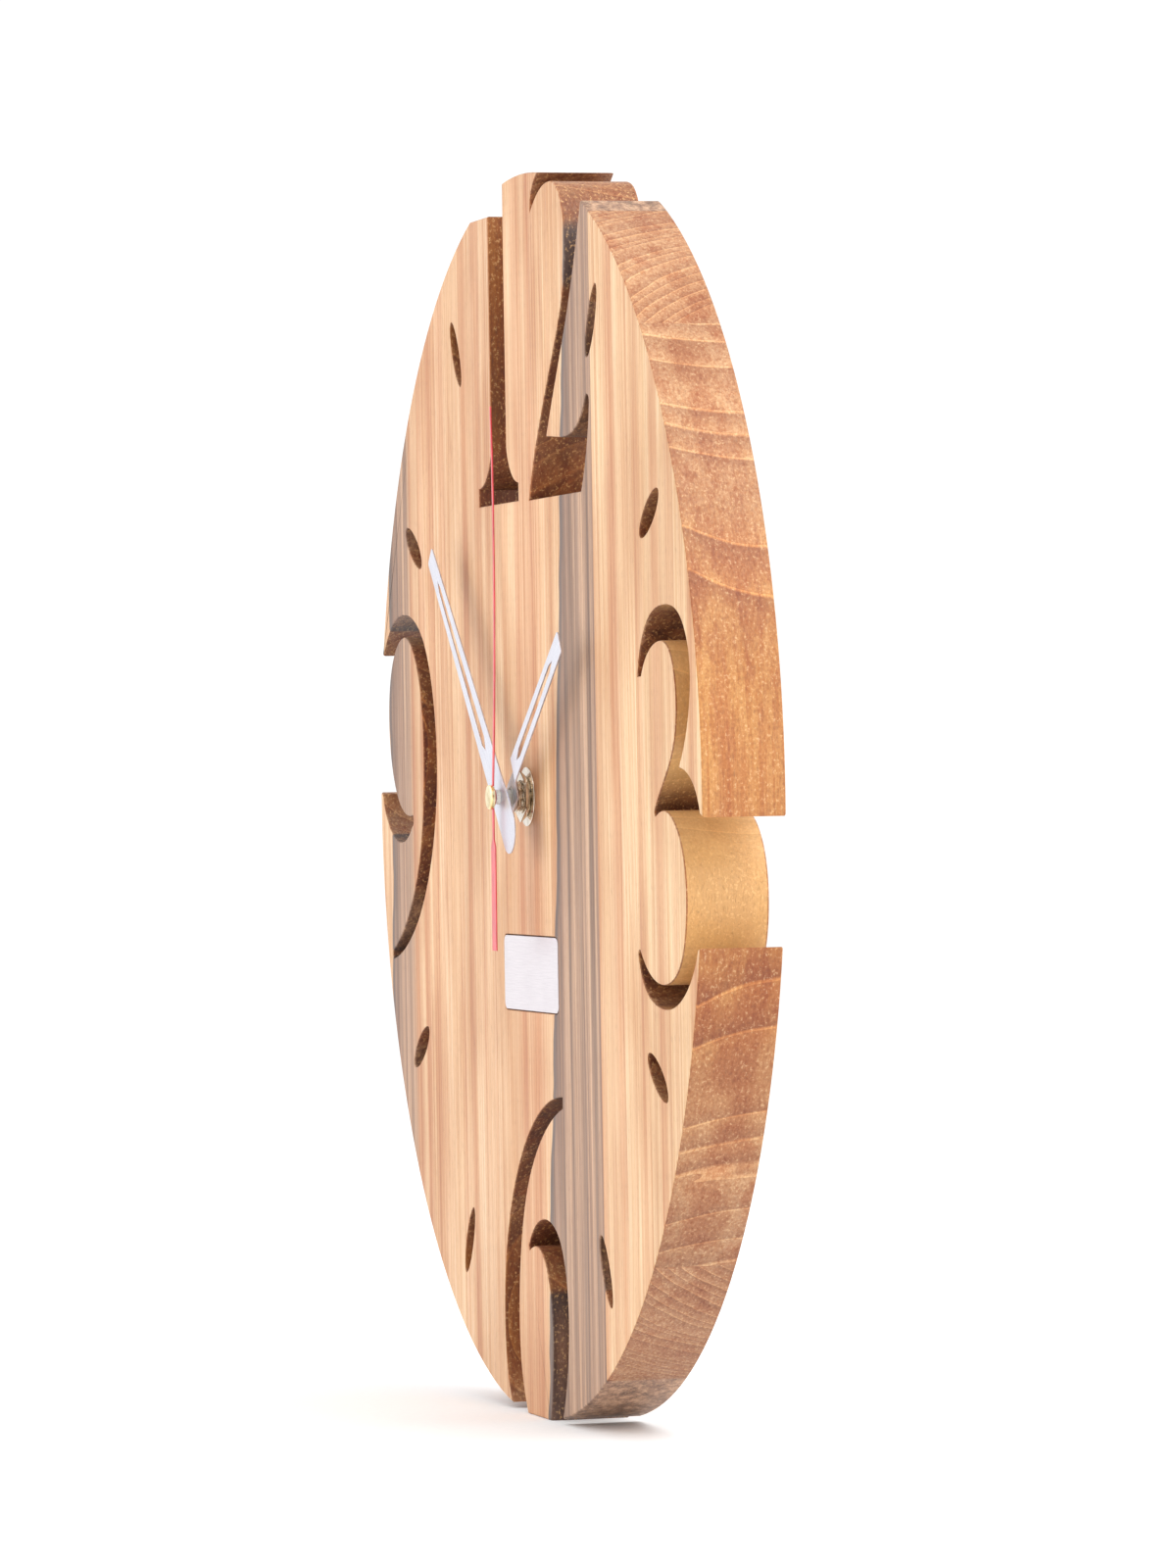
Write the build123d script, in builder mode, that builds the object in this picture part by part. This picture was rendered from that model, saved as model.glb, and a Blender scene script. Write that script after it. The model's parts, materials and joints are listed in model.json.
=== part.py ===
from build123d import *
import os
from math import cos, pi, radians, sin, sqrt

# Solid-wood quartz clock. The board stands on its rim: Z up, X to the right as seen from
# the front, Y towards the back. The origin is the middle of the small flat foot.

# ---------------------------------------------------------------- board
dial_radius = 150.0
dial_thickness = 19.5
foot_depth = 0.5  # how much of the rim is planed off to make the foot
stave_width = 42.0
stave_count = 7
web = 3.2  # wood left in front of the movement
shaft_hole_gap = 0.25
pocket_gap = 0.5  # room round the movement in its pocket
hook_hole_radius = 4.0
hook_hole_depth = 10.0
hook_hole_height = 50.0  # above the shaft

# ---------------------------------------------------------------- marks and plate
mark_length = 18.6
mark_width = 6.2
mark_depth = 7.0
mark_inset = 22.3  # rim to the middle of a mark
plate_width = 50.0
plate_height = 18.0
plate_corner = 2.0
plate_drop = 42.7  # shaft to the middle of the plate
plate_thickness = 1.0
plate_gap = 0.2
adhesive_thickness = 0.2
adhesive_margin = 1.0

# ---------------------------------------------------------------- battery and movement case
battery_radius = 7.1
battery_length = 50.5
battery_nub_radius = 2.7
battery_nub_length = 1.0
bay_gap = 0.2  # battery to the side of its bay
battery_rear_gap = 0.2
contact_room = 1.55  # each end of the battery to the wall
contact_thickness = 0.3
contact_width = 7.0
case_wall = 1.2
case_floor = 1.0
case_corner = 2.0
divider = 1.0
chamber_height = 38.0
cover_thickness = 1.2
cover_gap = 0.1
gasket_thickness = 0.6
gasket_radius = 12.0

# ---------------------------------------------------------------- shafts, all on one axis
running = 0.07  # radial clearance of a running fit
second_arbor_radius = 0.5
minute_pipe_radius = 1.75
minute_tail_radius = 1.3
hour_pipe_radius = 2.5
stem_radius = 4.0
stem_flange_radius = 5.5
stem_flange = 0.5
thread_gap = 0.02

# ---------------------------------------------------------------- washer, nut and hands
washer_band = 3.15  # stem to the washer's edge
washer_thickness = 0.4
nut_wall = 1.5  # stem to the nut's flats
nut_thickness = 1.6
stem_beyond_nut = 1.6
stem_chamfer = 0.4
hour_hub_gap = 0.3
hour_pipe_beyond_hub = 0.15
hour_step = 1.9  # how far the hour blade stands in front of its hub
hand_thickness = 0.4
hand_gap = 0.6  # hour blade to minute hand
minute_pipe_beyond_hand = 1.0
second_gap = 0.3
second_thickness = 0.3
second_bow = 0.9  # how far the middle of the second hand bends towards the board
cap_radius = 3.0
cap_thickness = 1.1
cap_edge = 0.4
hour_length = 65.0
minute_length = 88.5
second_length = 94.0
second_tail = 37.0

# Angles clockwise from twelve: the hands say eight minutes to two.
minute_angle = 313.0
hour_angle = 56.1
second_angle = 1.0

# ---------------------------------------------------------------- gear train
third_distance = 10.2
third_direction = 180.0
intermediate_distance = 7.2
intermediate_direction = -20.0
rotor_distance = 7.0
rotor_direction = 40.0
minute_work_distance = 8.0
knob_distance = 8.0
train_room = 1.84  # centre wheel to the divider above the battery
pivot_gap = 0.05
thin_arbor_radius = 0.4
work_arbor_radius = 0.5
pin_radius = 0.3
knob_shaft_radius = 0.8
knob_radius = 4.0
knob_recess = 0.3  # cover's outside to the knob
knob_seat_gap = 0.2
knob_flutes = 24
knob_flute_radius = 0.3
knob_slot_length = 5.4
knob_slot_width = 0.9
knob_slot_depth = 0.7
magnet_radius = 3.0
coil_height = 18.0
coil_radius = 3.2

centre_teeth = 45
third_teeth = 48
second_teeth = 30
intermediate_teeth = 36
hour_teeth = 24
minute_work_teeth = 24
small_leaves = 6
large_leaves = 8

# ---------------------------------------------------------------- derived places
front = -dial_thickness / 2
back = dial_thickness / 2
shaft_height = dial_radius - foot_depth
case_front = front + web + gasket_thickness

third_spacing = 2 * third_distance
centre_module = third_spacing / (centre_teeth + small_leaves)
third_module = third_spacing / (third_teeth + small_leaves)
second_module = 2 * intermediate_distance / (second_teeth + small_leaves)
rotor_module = 2 * rotor_distance / (intermediate_teeth + small_leaves)
work_module = 2 * minute_work_distance / (minute_work_teeth + large_leaves)
hour_module = 2 * minute_work_distance / (hour_teeth + small_leaves)
knob_module = 2 * knob_distance / (minute_work_teeth + large_leaves)


def polar(distance, direction):
    """A point at a distance from the shaft, its direction counted from +X towards +Z."""
    return (distance * cos(radians(direction)), distance * sin(radians(direction)))


def plus(a, b):
    return (a[0] + b[0], a[1] + b[1])


shaft = (0.0, 0.0)
third_at = polar(third_distance, third_direction)
intermediate_at = polar(intermediate_distance, intermediate_direction)
rotor_at = plus(intermediate_at, polar(rotor_distance, rotor_direction))
work_at = polar(minute_work_distance, 90)
knob_at = plus(work_at, polar(knob_distance, 90))

wheel_addendum = 0.9
wheel_dedendum = 1.1
wheel_tooth_share = 0.42
wheel_tip_share = 0.35
leaf_addendum = 0.6
leaf_dedendum = 1.3
leaf_tooth_share = 0.36
leaf_tip_share = 0.5

centre_wheel_tip = centre_teeth * centre_module / 2 + wheel_addendum * centre_module
chamber_floor = -(centre_wheel_tip + train_room)
chamber_top = chamber_floor + chamber_height
bay_top = chamber_floor - divider
bay_height = 2 * (battery_radius + bay_gap)
bay_bottom = bay_top - bay_height
battery_height = bay_top - battery_radius - bay_gap
case_bottom = bay_bottom - case_wall
case_top = chamber_top + case_wall
case_middle = (case_bottom + case_top) / 2
case_height = case_top - case_bottom
inner_half_width = battery_length / 2 + contact_room
case_width = 2 * (inner_half_width + case_wall)
battery_depth = case_floor + bay_gap / 2 + battery_radius
case_depth = battery_depth + battery_radius + battery_rear_gap
cover_depth = case_depth - cover_thickness

washer_radius = stem_radius + washer_band
nut_across_flats = 2 * (stem_radius + nut_wall)

# Distances in front of the board's face.
nut_front = washer_thickness + nut_thickness
stem_front = nut_front + stem_beyond_nut
hour_hub = stem_front + hour_hub_gap
hour_blade = hour_hub + hour_step
hour_pipe_front = hour_hub + hand_thickness + hour_pipe_beyond_hub
minute_blade = hour_blade + hand_thickness + hand_gap
minute_pipe_front = minute_blade + hand_thickness + minute_pipe_beyond_hand
second_blade = minute_pipe_front + second_gap
cap_rear = second_blade + second_thickness
second_arbor_front = cap_rear + cap_thickness / 2

# Depths behind the front of the movement case, from the dial side to the back.
hour_wheel_layer = (1.3, 2.3)
cannon_layer = (2.7, 3.9)
work_layer = (2.8, 3.8)
bridge_layer = (4.2, 5.2)
centre_layer = (5.6, 6.4)
cannon_end = 6.7
third_layer = (6.9, 7.7)
second_layer = (8.2, 9.0)
intermediate_layer = (9.5, 10.3)
magnet_layer = (10.8, 13.2)
stator_layer = (11.2, 12.2)
core_thickness = 1.0
board_layer = (11.0, 12.0)
hub_end = 13.4
boss_front = 13.6
knob_well = (12.2, 13.0)
pivot_socket = 0.6  # how far the arbors reach into the cover
pivot_depth = cover_depth + pivot_socket


def front_view(y):
    """A sketch plane facing the viewer at y, centred on the shaft: local x is X, local y is Z."""
    return Plane(origin=(0, y, shaft_height), x_dir=(1, 0, 0), z_dir=(0, -1, 0))


def proud(distance):
    """The front-view plane at a distance in front of the board's face."""
    return front_view(front - distance)


def layer(depth):
    """The front-view plane at a depth behind the front of the movement case."""
    return front_view(case_front + depth)


def hand_view(distance, angle):
    """The plane of a hand at a distance in front of the face: local y runs along the hand."""
    a = radians(angle)
    return Plane(
        origin=(0, front - distance, shaft_height), x_dir=(cos(a), 0, -sin(a)), z_dir=(0, -1, 0)
    )


def side_view(angle):
    """A plane edge-on to a hand: local x runs along the hand, local y out of the board."""
    a = radians(angle)
    return Plane(
        origin=(0, front, shaft_height), x_dir=(sin(a), 0, cos(a)), z_dir=(cos(a), 0, -sin(a))
    )


def save(part, name):
    part.label = name
    export_step(part, f"parts/{name}.step")


def disc(at, radius, rear, height, mode=Mode.ADD):
    """A round slab, or a hole with mode SUBTRACT, from a depth in the case towards the front."""
    with BuildSketch(layer(rear)) as profile:
        with Locations(at):
            Circle(radius)
    extrude(profile.sketch, amount=height, mode=mode)


def block(x_low, x_high, z_low, z_high, rear, height, mode=Mode.ADD):
    """A rectangular slab in the case, from a depth towards the front."""
    with BuildSketch(layer(rear)) as profile:
        with Locations(((x_low + x_high) / 2, (z_low + z_high) / 2)):
            Rectangle(x_high - x_low, z_high - z_low)
    extrude(profile.sketch, amount=height, mode=mode)


def tooth_outline(teeth, module, addendum, dedendum, tooth_share, tip_share, tooth_at):
    """Points round a toothed outline with one tooth centred on the direction tooth_at."""
    pitch_radius = teeth * module / 2
    tip_radius = pitch_radius + addendum * module
    root_radius = pitch_radius - dedendum * module
    half_tooth = tooth_share * pi / teeth
    half_tip = half_tooth * tip_share
    corners = (
        (root_radius, -half_tooth),
        (pitch_radius, -half_tooth),
        (tip_radius, -half_tip),
        (tip_radius, half_tip),
        (pitch_radius, half_tooth),
        (root_radius, half_tooth),
    )
    points = []
    for tooth in range(teeth):
        middle = radians(tooth_at) + 2 * pi * tooth / teeth
        for radius, turn in corners:
            points.append((radius * cos(middle + turn), radius * sin(middle + turn)))
    return points


def wheel_teeth(at, teeth, module, partner, span):
    """A toothed wheel between two depths, with a tooth on the line to its partner."""
    outline = tooth_outline(
        teeth, module, wheel_addendum, wheel_dedendum, wheel_tooth_share, wheel_tip_share, partner
    )
    with BuildSketch(layer(span[1])) as profile:
        with Locations(at):
            Polygon(*outline, align=None)
    extrude(profile.sketch, amount=span[1] - span[0])


def pinion_leaves(at, leaves, module, partner, span):
    """A pinion between two depths, with a gap on the line to the wheel it meshes with."""
    outline = tooth_outline(
        leaves,
        module,
        leaf_addendum,
        leaf_dedendum,
        leaf_tooth_share,
        leaf_tip_share,
        partner + 180 / leaves,
    )
    with BuildSketch(layer(span[1])) as profile:
        with Locations(at):
            Polygon(*outline, align=None)
    extrude(profile.sketch, amount=span[1] - span[0])


os.makedirs("parts", exist_ok=True)

# ================================================================ numerals
# Each numeral is drawn from the rim beside it, so it stays open there whatever the board's
# radius: a point just outside the rim closes the outline in the air.
outside = 8.0

with BuildSketch(Plane.XY) as one_cut:
    with BuildLine():
        Polyline((-30.0, -65.0), (-30.0, -7.7), (-62.0, -7.7), (-62.0, outside))
        Polyline((-62.0, outside), (-15.6, outside), (-15.6, -65.0))
        ThreePointArc((-15.6, -65.0), (-11.6, -71.4), (-4.5, -74.2))
        Polyline((-4.5, -74.2), (-4.5, -78.4), (-42.4, -78.4), (-42.4, -74.2))
        ThreePointArc((-42.4, -74.2), (-34.6, -71.4), (-30.0, -65.0))
    make_face()

with BuildSketch(Plane.XY) as two_cut:
    with BuildLine():
        Spline((10.4, -9.8), (11.1, -5.9), (13.8, -3.1), (18.0, -0.6))
        Polyline((18.0, -0.6), (20.0, outside), (62.0, outside), (57.4, -8.6))
        Spline((57.4, -8.6), (52.9, -18.0), (44.1, -33.7), (33.1, -48.9), (22.1, -64.4))
        Spline((22.1, -64.4), (34.2, -65.1), (44.1, -64.7), (51.2, -62.4), (57.6, -57.1))
        ThreePointArc((57.6, -57.1), (59.5, -56.4), (61.1, -58.0))
        Spline((61.1, -58.0), (59.4, -65.6), (52.9, -78.7))
        Line((52.9, -78.7), (5.5, -78.7))
        Spline(
            (5.5, -78.7),
            (17.7, -58.8),
            (30.9, -42.6),
            (39.7, -29.0),
            (40.8, -15.0),
            (35.0, -6.0),
            (25.4, -4.0),
            (16.6, -6.2),
            (10.4, -9.8),
        )
    make_face()

with BuildSketch(Plane.XY) as three_cut:
    with BuildLine():
        Spline(
            (-51.0, 27.2),
            (-48.6, 33.6),
            (-41.4, 40.2),
            (-29.0, 42.8),
            (-16.2, 40.2),
            (-8.9, 31.2),
            (-10.3, 17.4),
            (-18.9, 6.1),
        )
        Spline((-18.9, 6.1), (-12.3, 5.0), (-6.8, 2.1), (-2.0, -4.2))
        Polyline((-2.0, -4.2), (outside, -8.0), (outside, -32.0), (-5.2, -34.2))
        Spline(
            (-5.2, -34.2),
            (-12.0, -41.8),
            (-24.0, -47.3),
            (-37.2, -47.8),
            (-48.6, -43.8),
            (-54.0, -36.4),
        )
        ThreePointArc((-54.0, -36.4), (-53.6, -35.4), (-52.4, -35.3))
        Spline(
            (-52.4, -35.3),
            (-44.6, -40.6),
            (-31.5, -42.7),
            (-19.4, -37.8),
            (-14.2, -25.8),
            (-16.8, -12.3),
            (-24.4, -5.2),
            (-37.6, -4.6),
        )
        ThreePointArc((-37.6, -4.6), (-38.8, -4.1), (-38.6, -3.2))
        Spline(
            (-38.6, -3.2),
            (-30.4, 3.6),
            (-22.2, 11.8),
            (-20.2, 23.6),
            (-25.5, 33.0),
            (-36.4, 34.5),
            (-48.2, 27.2),
        )
        Line((-48.2, 27.2), (-51.0, 27.2))
    make_face()

with BuildSketch(Plane.XY) as six_cut:
    with BuildLine():
        Line((27.2, 75.9), (27.2, 78.4))
        Spline(
            (27.2, 78.4),
            (11.1, 75.9),
            (-8.7, 65.6),
            (-24.1, 47.5),
            (-30.3, 22.0),
            (-27.6, 7.4),
            (-23.4, 0.6),
        )
        Polyline((-23.4, 0.6), (-20.0, -outside), (-6.0, -outside), (-9.6, 0.6))
        Spline(
            (-9.6, 0.6),
            (-15.7, 14.5),
            (-15.1, 35.0),
            (-6.9, 55.2),
            (8.9, 68.9),
            (27.2, 75.9),
        )
    make_face()
    with BuildLine():
        Spline(
            (-6.2, 41.4),
            (0.2, 46.4),
            (11.1, 48.4),
            (22.4, 44.2),
            (29.0, 31.8),
            (28.3, 14.5),
            (22.2, 0.6),
        )
        Polyline((22.2, 0.6), (19.0, -outside), (9.0, -outside), (12.0, 0.6))
        Spline((12.0, 0.6), (15.1, 15.5), (14.4, 27.5), (7.6, 39.1), (-5.6, 40.4))
        Line((-5.6, 40.4), (-6.2, 41.4))
    make_face()

with BuildSketch(Plane.XY) as nine_cut:
    with BuildLine():
        Line((-0.4, 38.6), (5.0, 37.0))
        Spline(
            (5.0, 37.0),
            (15.6, 44.8),
            (31.0, 46.8),
            (47.6, 39.8),
            (58.0, 22.6),
            (59.3, 1.0),
            (48.6, -21.4),
            (31.4, -35.2),
            (11.9, -41.6),
        )
        ThreePointArc((11.9, -41.6), (10.3, -41.1), (10.4, -39.6))
        Spline(
            (10.4, -39.6),
            (26.8, -30.9),
            (40.7, -15.1),
            (46.2, 9.0),
            (41.1, 32.2),
            (29.0, 41.2),
            (16.3, 36.9),
            (9.8, 19.6),
            (16.9, 1.0),
            (33.8, -4.6),
        )
        ThreePointArc((33.8, -4.6), (34.4, -5.8), (32.8, -7.3))
        Spline((32.8, -7.3), (21.3, -11.5), (8.6, -7.6), (1.5, 1.0))
        Polyline((1.5, 1.0), (-outside, 4.0), (-outside, 38.6), (-0.4, 38.6))
    make_face()

# The board's outline as seen from the front, about the shaft.
with BuildSketch(Plane.XY) as board_outline:
    Circle(dial_radius)
    with Locations((0, -shaft_height)):
        Rectangle(
            2 * dial_radius, dial_radius, align=(Align.CENTER, Align.MAX), mode=Mode.SUBTRACT
        )
    with Locations((0, dial_radius)):
        add(one_cut.sketch, mode=Mode.SUBTRACT)
        add(two_cut.sketch, mode=Mode.SUBTRACT)
    with Locations((dial_radius, 0)):
        add(three_cut.sketch, mode=Mode.SUBTRACT)
    with Locations((0, -dial_radius)):
        add(six_cut.sketch, mode=Mode.SUBTRACT)
    with Locations((-dial_radius, 0)):
        add(nine_cut.sketch, mode=Mode.SUBTRACT)

# ================================================================ glued staves of the board
mark_hours = [hour for hour in range(1, 12) if hour % 3]
mark_circle = dial_radius - mark_inset
recess_depth = plate_thickness + adhesive_thickness


def cut_board_features():
    """Hour marks, plate recess, shaft hole, movement pocket and hook hole."""
    with BuildSketch(front_view(front)) as profile:
        for hour in mark_hours:
            with Locations(polar(mark_circle, 90 - 30 * hour)):
                Ellipse(mark_width / 2, mark_length / 2, rotation=-30 * hour)
    extrude(profile.sketch, amount=-mark_depth, mode=Mode.SUBTRACT)
    with BuildSketch(front_view(front)) as profile:
        with Locations((0, -plate_drop)):
            RectangleRounded(
                plate_width + 2 * plate_gap, plate_height + 2 * plate_gap, plate_corner + plate_gap
            )
    extrude(profile.sketch, amount=-recess_depth, mode=Mode.SUBTRACT)
    with BuildSketch(front_view(front)) as profile:
        Circle(stem_radius + shaft_hole_gap)
    extrude(profile.sketch, amount=-dial_thickness, mode=Mode.SUBTRACT)
    with BuildSketch(front_view(back)) as profile:
        with Locations((0, case_middle)):
            Rectangle(case_width + 2 * pocket_gap, case_height + 2 * pocket_gap)
    extrude(profile.sketch, amount=dial_thickness - web, mode=Mode.SUBTRACT)
    with BuildSketch(front_view(back)) as profile:
        with Locations((0, hook_hole_height)):
            Circle(hook_hole_radius)
    extrude(profile.sketch, amount=hook_hole_depth, mode=Mode.SUBTRACT)


for number in range(1, stave_count + 1):
    left = (number - 1 - stave_count / 2) * stave_width
    right = left + stave_width
    if number == 1:
        left = -dial_radius - outside
    if number == stave_count:
        right = dial_radius + outside
    with BuildPart() as stave:
        with BuildSketch(front_view(back)):
            add(board_outline.sketch)
            with Locations(((left + right) / 2, 0)):
                Rectangle(right - left, 3 * dial_radius, mode=Mode.INTERSECT)
        extrude(amount=dial_thickness)
        cut_board_features()
    save(stave.part, f"dial_stave_{number}")

# ================================================================ name plate
with BuildPart() as name_plate:
    with BuildSketch(front_view(front + plate_thickness)):
        with Locations((0, -plate_drop)):
            RectangleRounded(plate_width, plate_height, plate_corner)
    extrude(amount=plate_thickness)
save(name_plate.part, "name_plate")

with BuildPart() as plate_adhesive:
    with BuildSketch(front_view(front + recess_depth)):
        with Locations((0, -plate_drop)):
            Rectangle(plate_width - 2 * adhesive_margin, plate_height - 2 * adhesive_margin)
    extrude(amount=adhesive_thickness)
save(plate_adhesive.part, "plate_adhesive")

# ================================================================ fixing to the board
with BuildPart() as gasket:
    with BuildSketch(front_view(front + web + gasket_thickness)):
        Circle(gasket_radius)
        Circle(stem_radius + shaft_hole_gap, mode=Mode.SUBTRACT)
    extrude(amount=gasket_thickness)
save(gasket.part, "rubber_gasket")

with BuildPart() as washer:
    with BuildSketch(front_view(front)):
        Circle(washer_radius)
        Circle(stem_radius + shaft_hole_gap / 2, mode=Mode.SUBTRACT)
    extrude(amount=washer_thickness)
save(washer.part, "front_washer")

nut_corner_radius = nut_across_flats / sqrt(3)
with BuildPart() as nut:
    with BuildSketch(proud(washer_thickness)):
        RegularPolygon(nut_corner_radius, 6, rotation=30)
    extrude(amount=nut_thickness)
    with BuildSketch(proud(nut_front)):
        Circle(2 * nut_corner_radius)
        Circle(nut_corner_radius, mode=Mode.SUBTRACT)
    extrude(amount=-nut_thickness, taper=-45, mode=Mode.SUBTRACT)
    with BuildSketch(proud(washer_thickness)):
        Circle(stem_radius + thread_gap)
    extrude(amount=nut_thickness, mode=Mode.SUBTRACT)
save(nut.part, "hex_nut")

with BuildPart() as stem:
    with BuildSketch(layer(case_floor - stem_flange)):
        Circle(stem_radius)
    extrude(amount=web + gasket_thickness + case_floor - stem_flange + stem_front)
    chamfer(stem.faces().sort_by(Axis.Y)[0].edges(), stem_chamfer)
    disc(shaft, stem_flange_radius, case_floor, stem_flange)
    disc(shaft, hour_pipe_radius + running, case_floor, 2 * dial_thickness, Mode.SUBTRACT)
save(stem.part, "threaded_stem")

# ================================================================ hands
hour_tip_half = 3.0
hour_root_half = 3.4
hour_root = 12.0
hour_hub_radius = 4.0
hour_ramp_start = 5.5
hour_ramp_end = 11.5
hour_slot_start = 15.6
hour_slot_end_margin = 7.8
hour_slot_half = (1.15, 1.0)
tip_round = 0.8
slot_point = 3.5

minute_tip_half = 2.7
minute_tail_half = 5.7
minute_tail = 11.6  # hub to the middle of the round tail
minute_slot_start = 16.5
minute_slot_end_margin = 9.4
minute_slot_half = (1.5, 0.9)


def pierce(start, end, start_half, end_half):
    """A long slot with pointed ends along the middle of a hand."""
    Polygon(
        (0, start),
        (start_half, start + slot_point),
        (end_half, end - slot_point),
        (0, end),
        (-end_half, end - slot_point),
        (-start_half, start + slot_point),
        align=None,
        mode=Mode.SUBTRACT,
    )


with BuildPart() as hour_hand:
    with BuildSketch(hand_view(hour_hub, hour_angle)) as hour_plan:
        Polygon(
            (hour_tip_half, hour_length),
            (hour_root_half, hour_root),
            (hour_hub_radius, 0),
            (-hour_hub_radius, 0),
            (-hour_root_half, hour_root),
            (-hour_tip_half, hour_length),
            align=None,
        )
        fillet(hour_plan.vertices().group_by(Axis.Y)[-1], tip_round)
        Circle(hour_hub_radius)
        pierce(hour_slot_start, hour_length - hour_slot_end_margin, *hour_slot_half)
        Circle(hour_pipe_radius, mode=Mode.SUBTRACT)
    extrude(amount=hour_step + hand_thickness)
    with BuildSketch(side_view(hour_angle)):
        Polygon(
            (-2 * hour_hub_radius, hour_hub),
            (hour_ramp_start, hour_hub),
            (hour_ramp_end, hour_blade),
            (2 * hour_length, hour_blade),
            (2 * hour_length, hour_blade + hand_thickness),
            (hour_ramp_end, hour_blade + hand_thickness),
            (hour_ramp_start, hour_hub + hand_thickness),
            (-2 * hour_hub_radius, hour_hub + hand_thickness),
            align=None,
        )
    extrude(amount=2 * hour_hub_radius, both=True, mode=Mode.INTERSECT)
save(hour_hand.part, "hour_hand")

with BuildPart() as minute_hand:
    with BuildSketch(hand_view(minute_blade, minute_angle)) as minute_plan:
        Polygon(
            (minute_tip_half, minute_length),
            (minute_tail_half, -minute_tail),
            (-minute_tail_half, -minute_tail),
            (-minute_tip_half, minute_length),
            align=None,
        )
        fillet(minute_plan.vertices().group_by(Axis.Y)[-1], tip_round)
        with Locations((0, -minute_tail)):
            Circle(minute_tail_half)
        pierce(minute_slot_start, minute_length - minute_slot_end_margin, *minute_slot_half)
        Circle(minute_pipe_radius, mode=Mode.SUBTRACT)
    extrude(amount=hand_thickness)
save(minute_hand.part, "minute_hand")

second_tip_half = 0.45
second_hub_half = 0.65
second_hub_radius = 2.4
second_tail_start = 10.0
second_tail_half = 2.0
bow_middle = 0.62 * second_length

with BuildPart() as second_hand:
    with BuildSketch(hand_view(second_blade - second_bow, second_angle)):
        Polygon(
            (second_tip_half, second_length),
            (second_hub_half, 0),
            (second_hub_half, -second_tail_start),
            (second_tail_half, -second_tail_start - second_tail_half),
            (second_tail_half, -second_tail),
            (-second_tail_half, -second_tail),
            (-second_tail_half, -second_tail_start - second_tail_half),
            (-second_hub_half, -second_tail_start),
            (-second_hub_half, 0),
            (-second_tip_half, second_length),
            align=None,
        )
        Circle(second_hub_radius)
        Circle(second_arbor_radius, mode=Mode.SUBTRACT)
    extrude(amount=second_bow + second_thickness)
    with BuildSketch(side_view(second_angle)):
        with BuildLine():
            Line((-second_tail, second_blade), (second_hub_radius, second_blade))
            ThreePointArc(
                (second_hub_radius, second_blade),
                (bow_middle, second_blade - second_bow),
                (second_length + 1, second_blade - second_bow / 2),
            )
            Line(
                (second_length + 1, second_blade - second_bow / 2),
                (second_length + 1, cap_rear - second_bow / 2),
            )
            ThreePointArc(
                (second_length + 1, cap_rear - second_bow / 2),
                (bow_middle, cap_rear - second_bow),
                (second_hub_radius, cap_rear),
            )
            Polyline(
                (second_hub_radius, cap_rear), (-second_tail, cap_rear), (-second_tail, second_blade)
            )
        make_face()
    extrude(amount=2 * second_hub_radius, both=True, mode=Mode.INTERSECT)
save(second_hand.part, "second_hand")

with BuildPart() as cap:
    with BuildSketch(proud(cap_rear)):
        Circle(cap_radius)
    extrude(amount=cap_thickness)
    fillet(cap.faces().sort_by(Axis.Y)[0].edges(), cap_edge)
    with BuildSketch(proud(cap_rear)):
        Circle(second_arbor_radius)
    extrude(amount=second_arbor_front - cap_rear, mode=Mode.SUBTRACT)
save(cap.part, "second_hand_cap")

# ================================================================ movement case
post_radius = 2.0
post_margin = 2.8
low_post_margin = 2.2
post_x = inner_half_width - post_margin
post_low = chamber_floor + low_post_margin
post_high = chamber_top - post_margin
posts = [(-post_x, post_low), (post_x, post_low), (-post_x, post_high), (post_x, post_high)]
screw_radius = 0.8
screw_length = 6.0
screw_head_radius = 1.7
screw_head = 0.8
screw_end_gap = 0.5
screw_slot_length = 2.0
screw_slot_width = 0.4
screw_slot_depth = 0.4
peg_inset = 9.8  # from the case's side wall
peg_rise = 3.2  # from the chamber's floor
peg_above_knob = 5.0
peg_x = inner_half_width - peg_inset
peg_low = chamber_floor + peg_rise
peg_high = knob_at[1] + peg_above_knob
pegs = [(-peg_x, peg_low), (peg_x, peg_low), (-peg_x, peg_high), (peg_x, peg_high)]
standoff_radius = 1.5
peg_radius = 0.8
work_socket = 0.5
end_gap = 0.1  # each arbor to the bottom of its bearing hole

with BuildPart() as case:
    with BuildSketch(layer(case_depth)):
        with Locations((0, case_middle)):
            RectangleRounded(case_width, case_height, case_corner)
    extrude(amount=case_depth)
    for low, high in ((chamber_floor, chamber_top), (bay_bottom, bay_top)):
        block(
            -inner_half_width,
            inner_half_width,
            low,
            high,
            case_depth,
            case_depth - case_floor,
            Mode.SUBTRACT,
        )
    for at in posts:
        disc(at, post_radius, cover_depth, cover_depth - case_floor)
        disc(at, screw_radius + thread_gap, cover_depth, screw_length, Mode.SUBTRACT)
    for at in pegs:
        disc(at, standoff_radius, bridge_layer[0], bridge_layer[0] - case_floor)
        disc(at, peg_radius, bridge_layer[1], bridge_layer[1] - bridge_layer[0])
    disc(shaft, stem_radius + thread_gap, case_floor, case_floor, Mode.SUBTRACT)
    disc(shaft, stem_flange_radius + thread_gap, case_floor, stem_flange, Mode.SUBTRACT)
    disc(work_at, work_arbor_radius + pivot_gap, case_floor, work_socket, Mode.SUBTRACT)
save(case.part, "movement_case")

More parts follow.
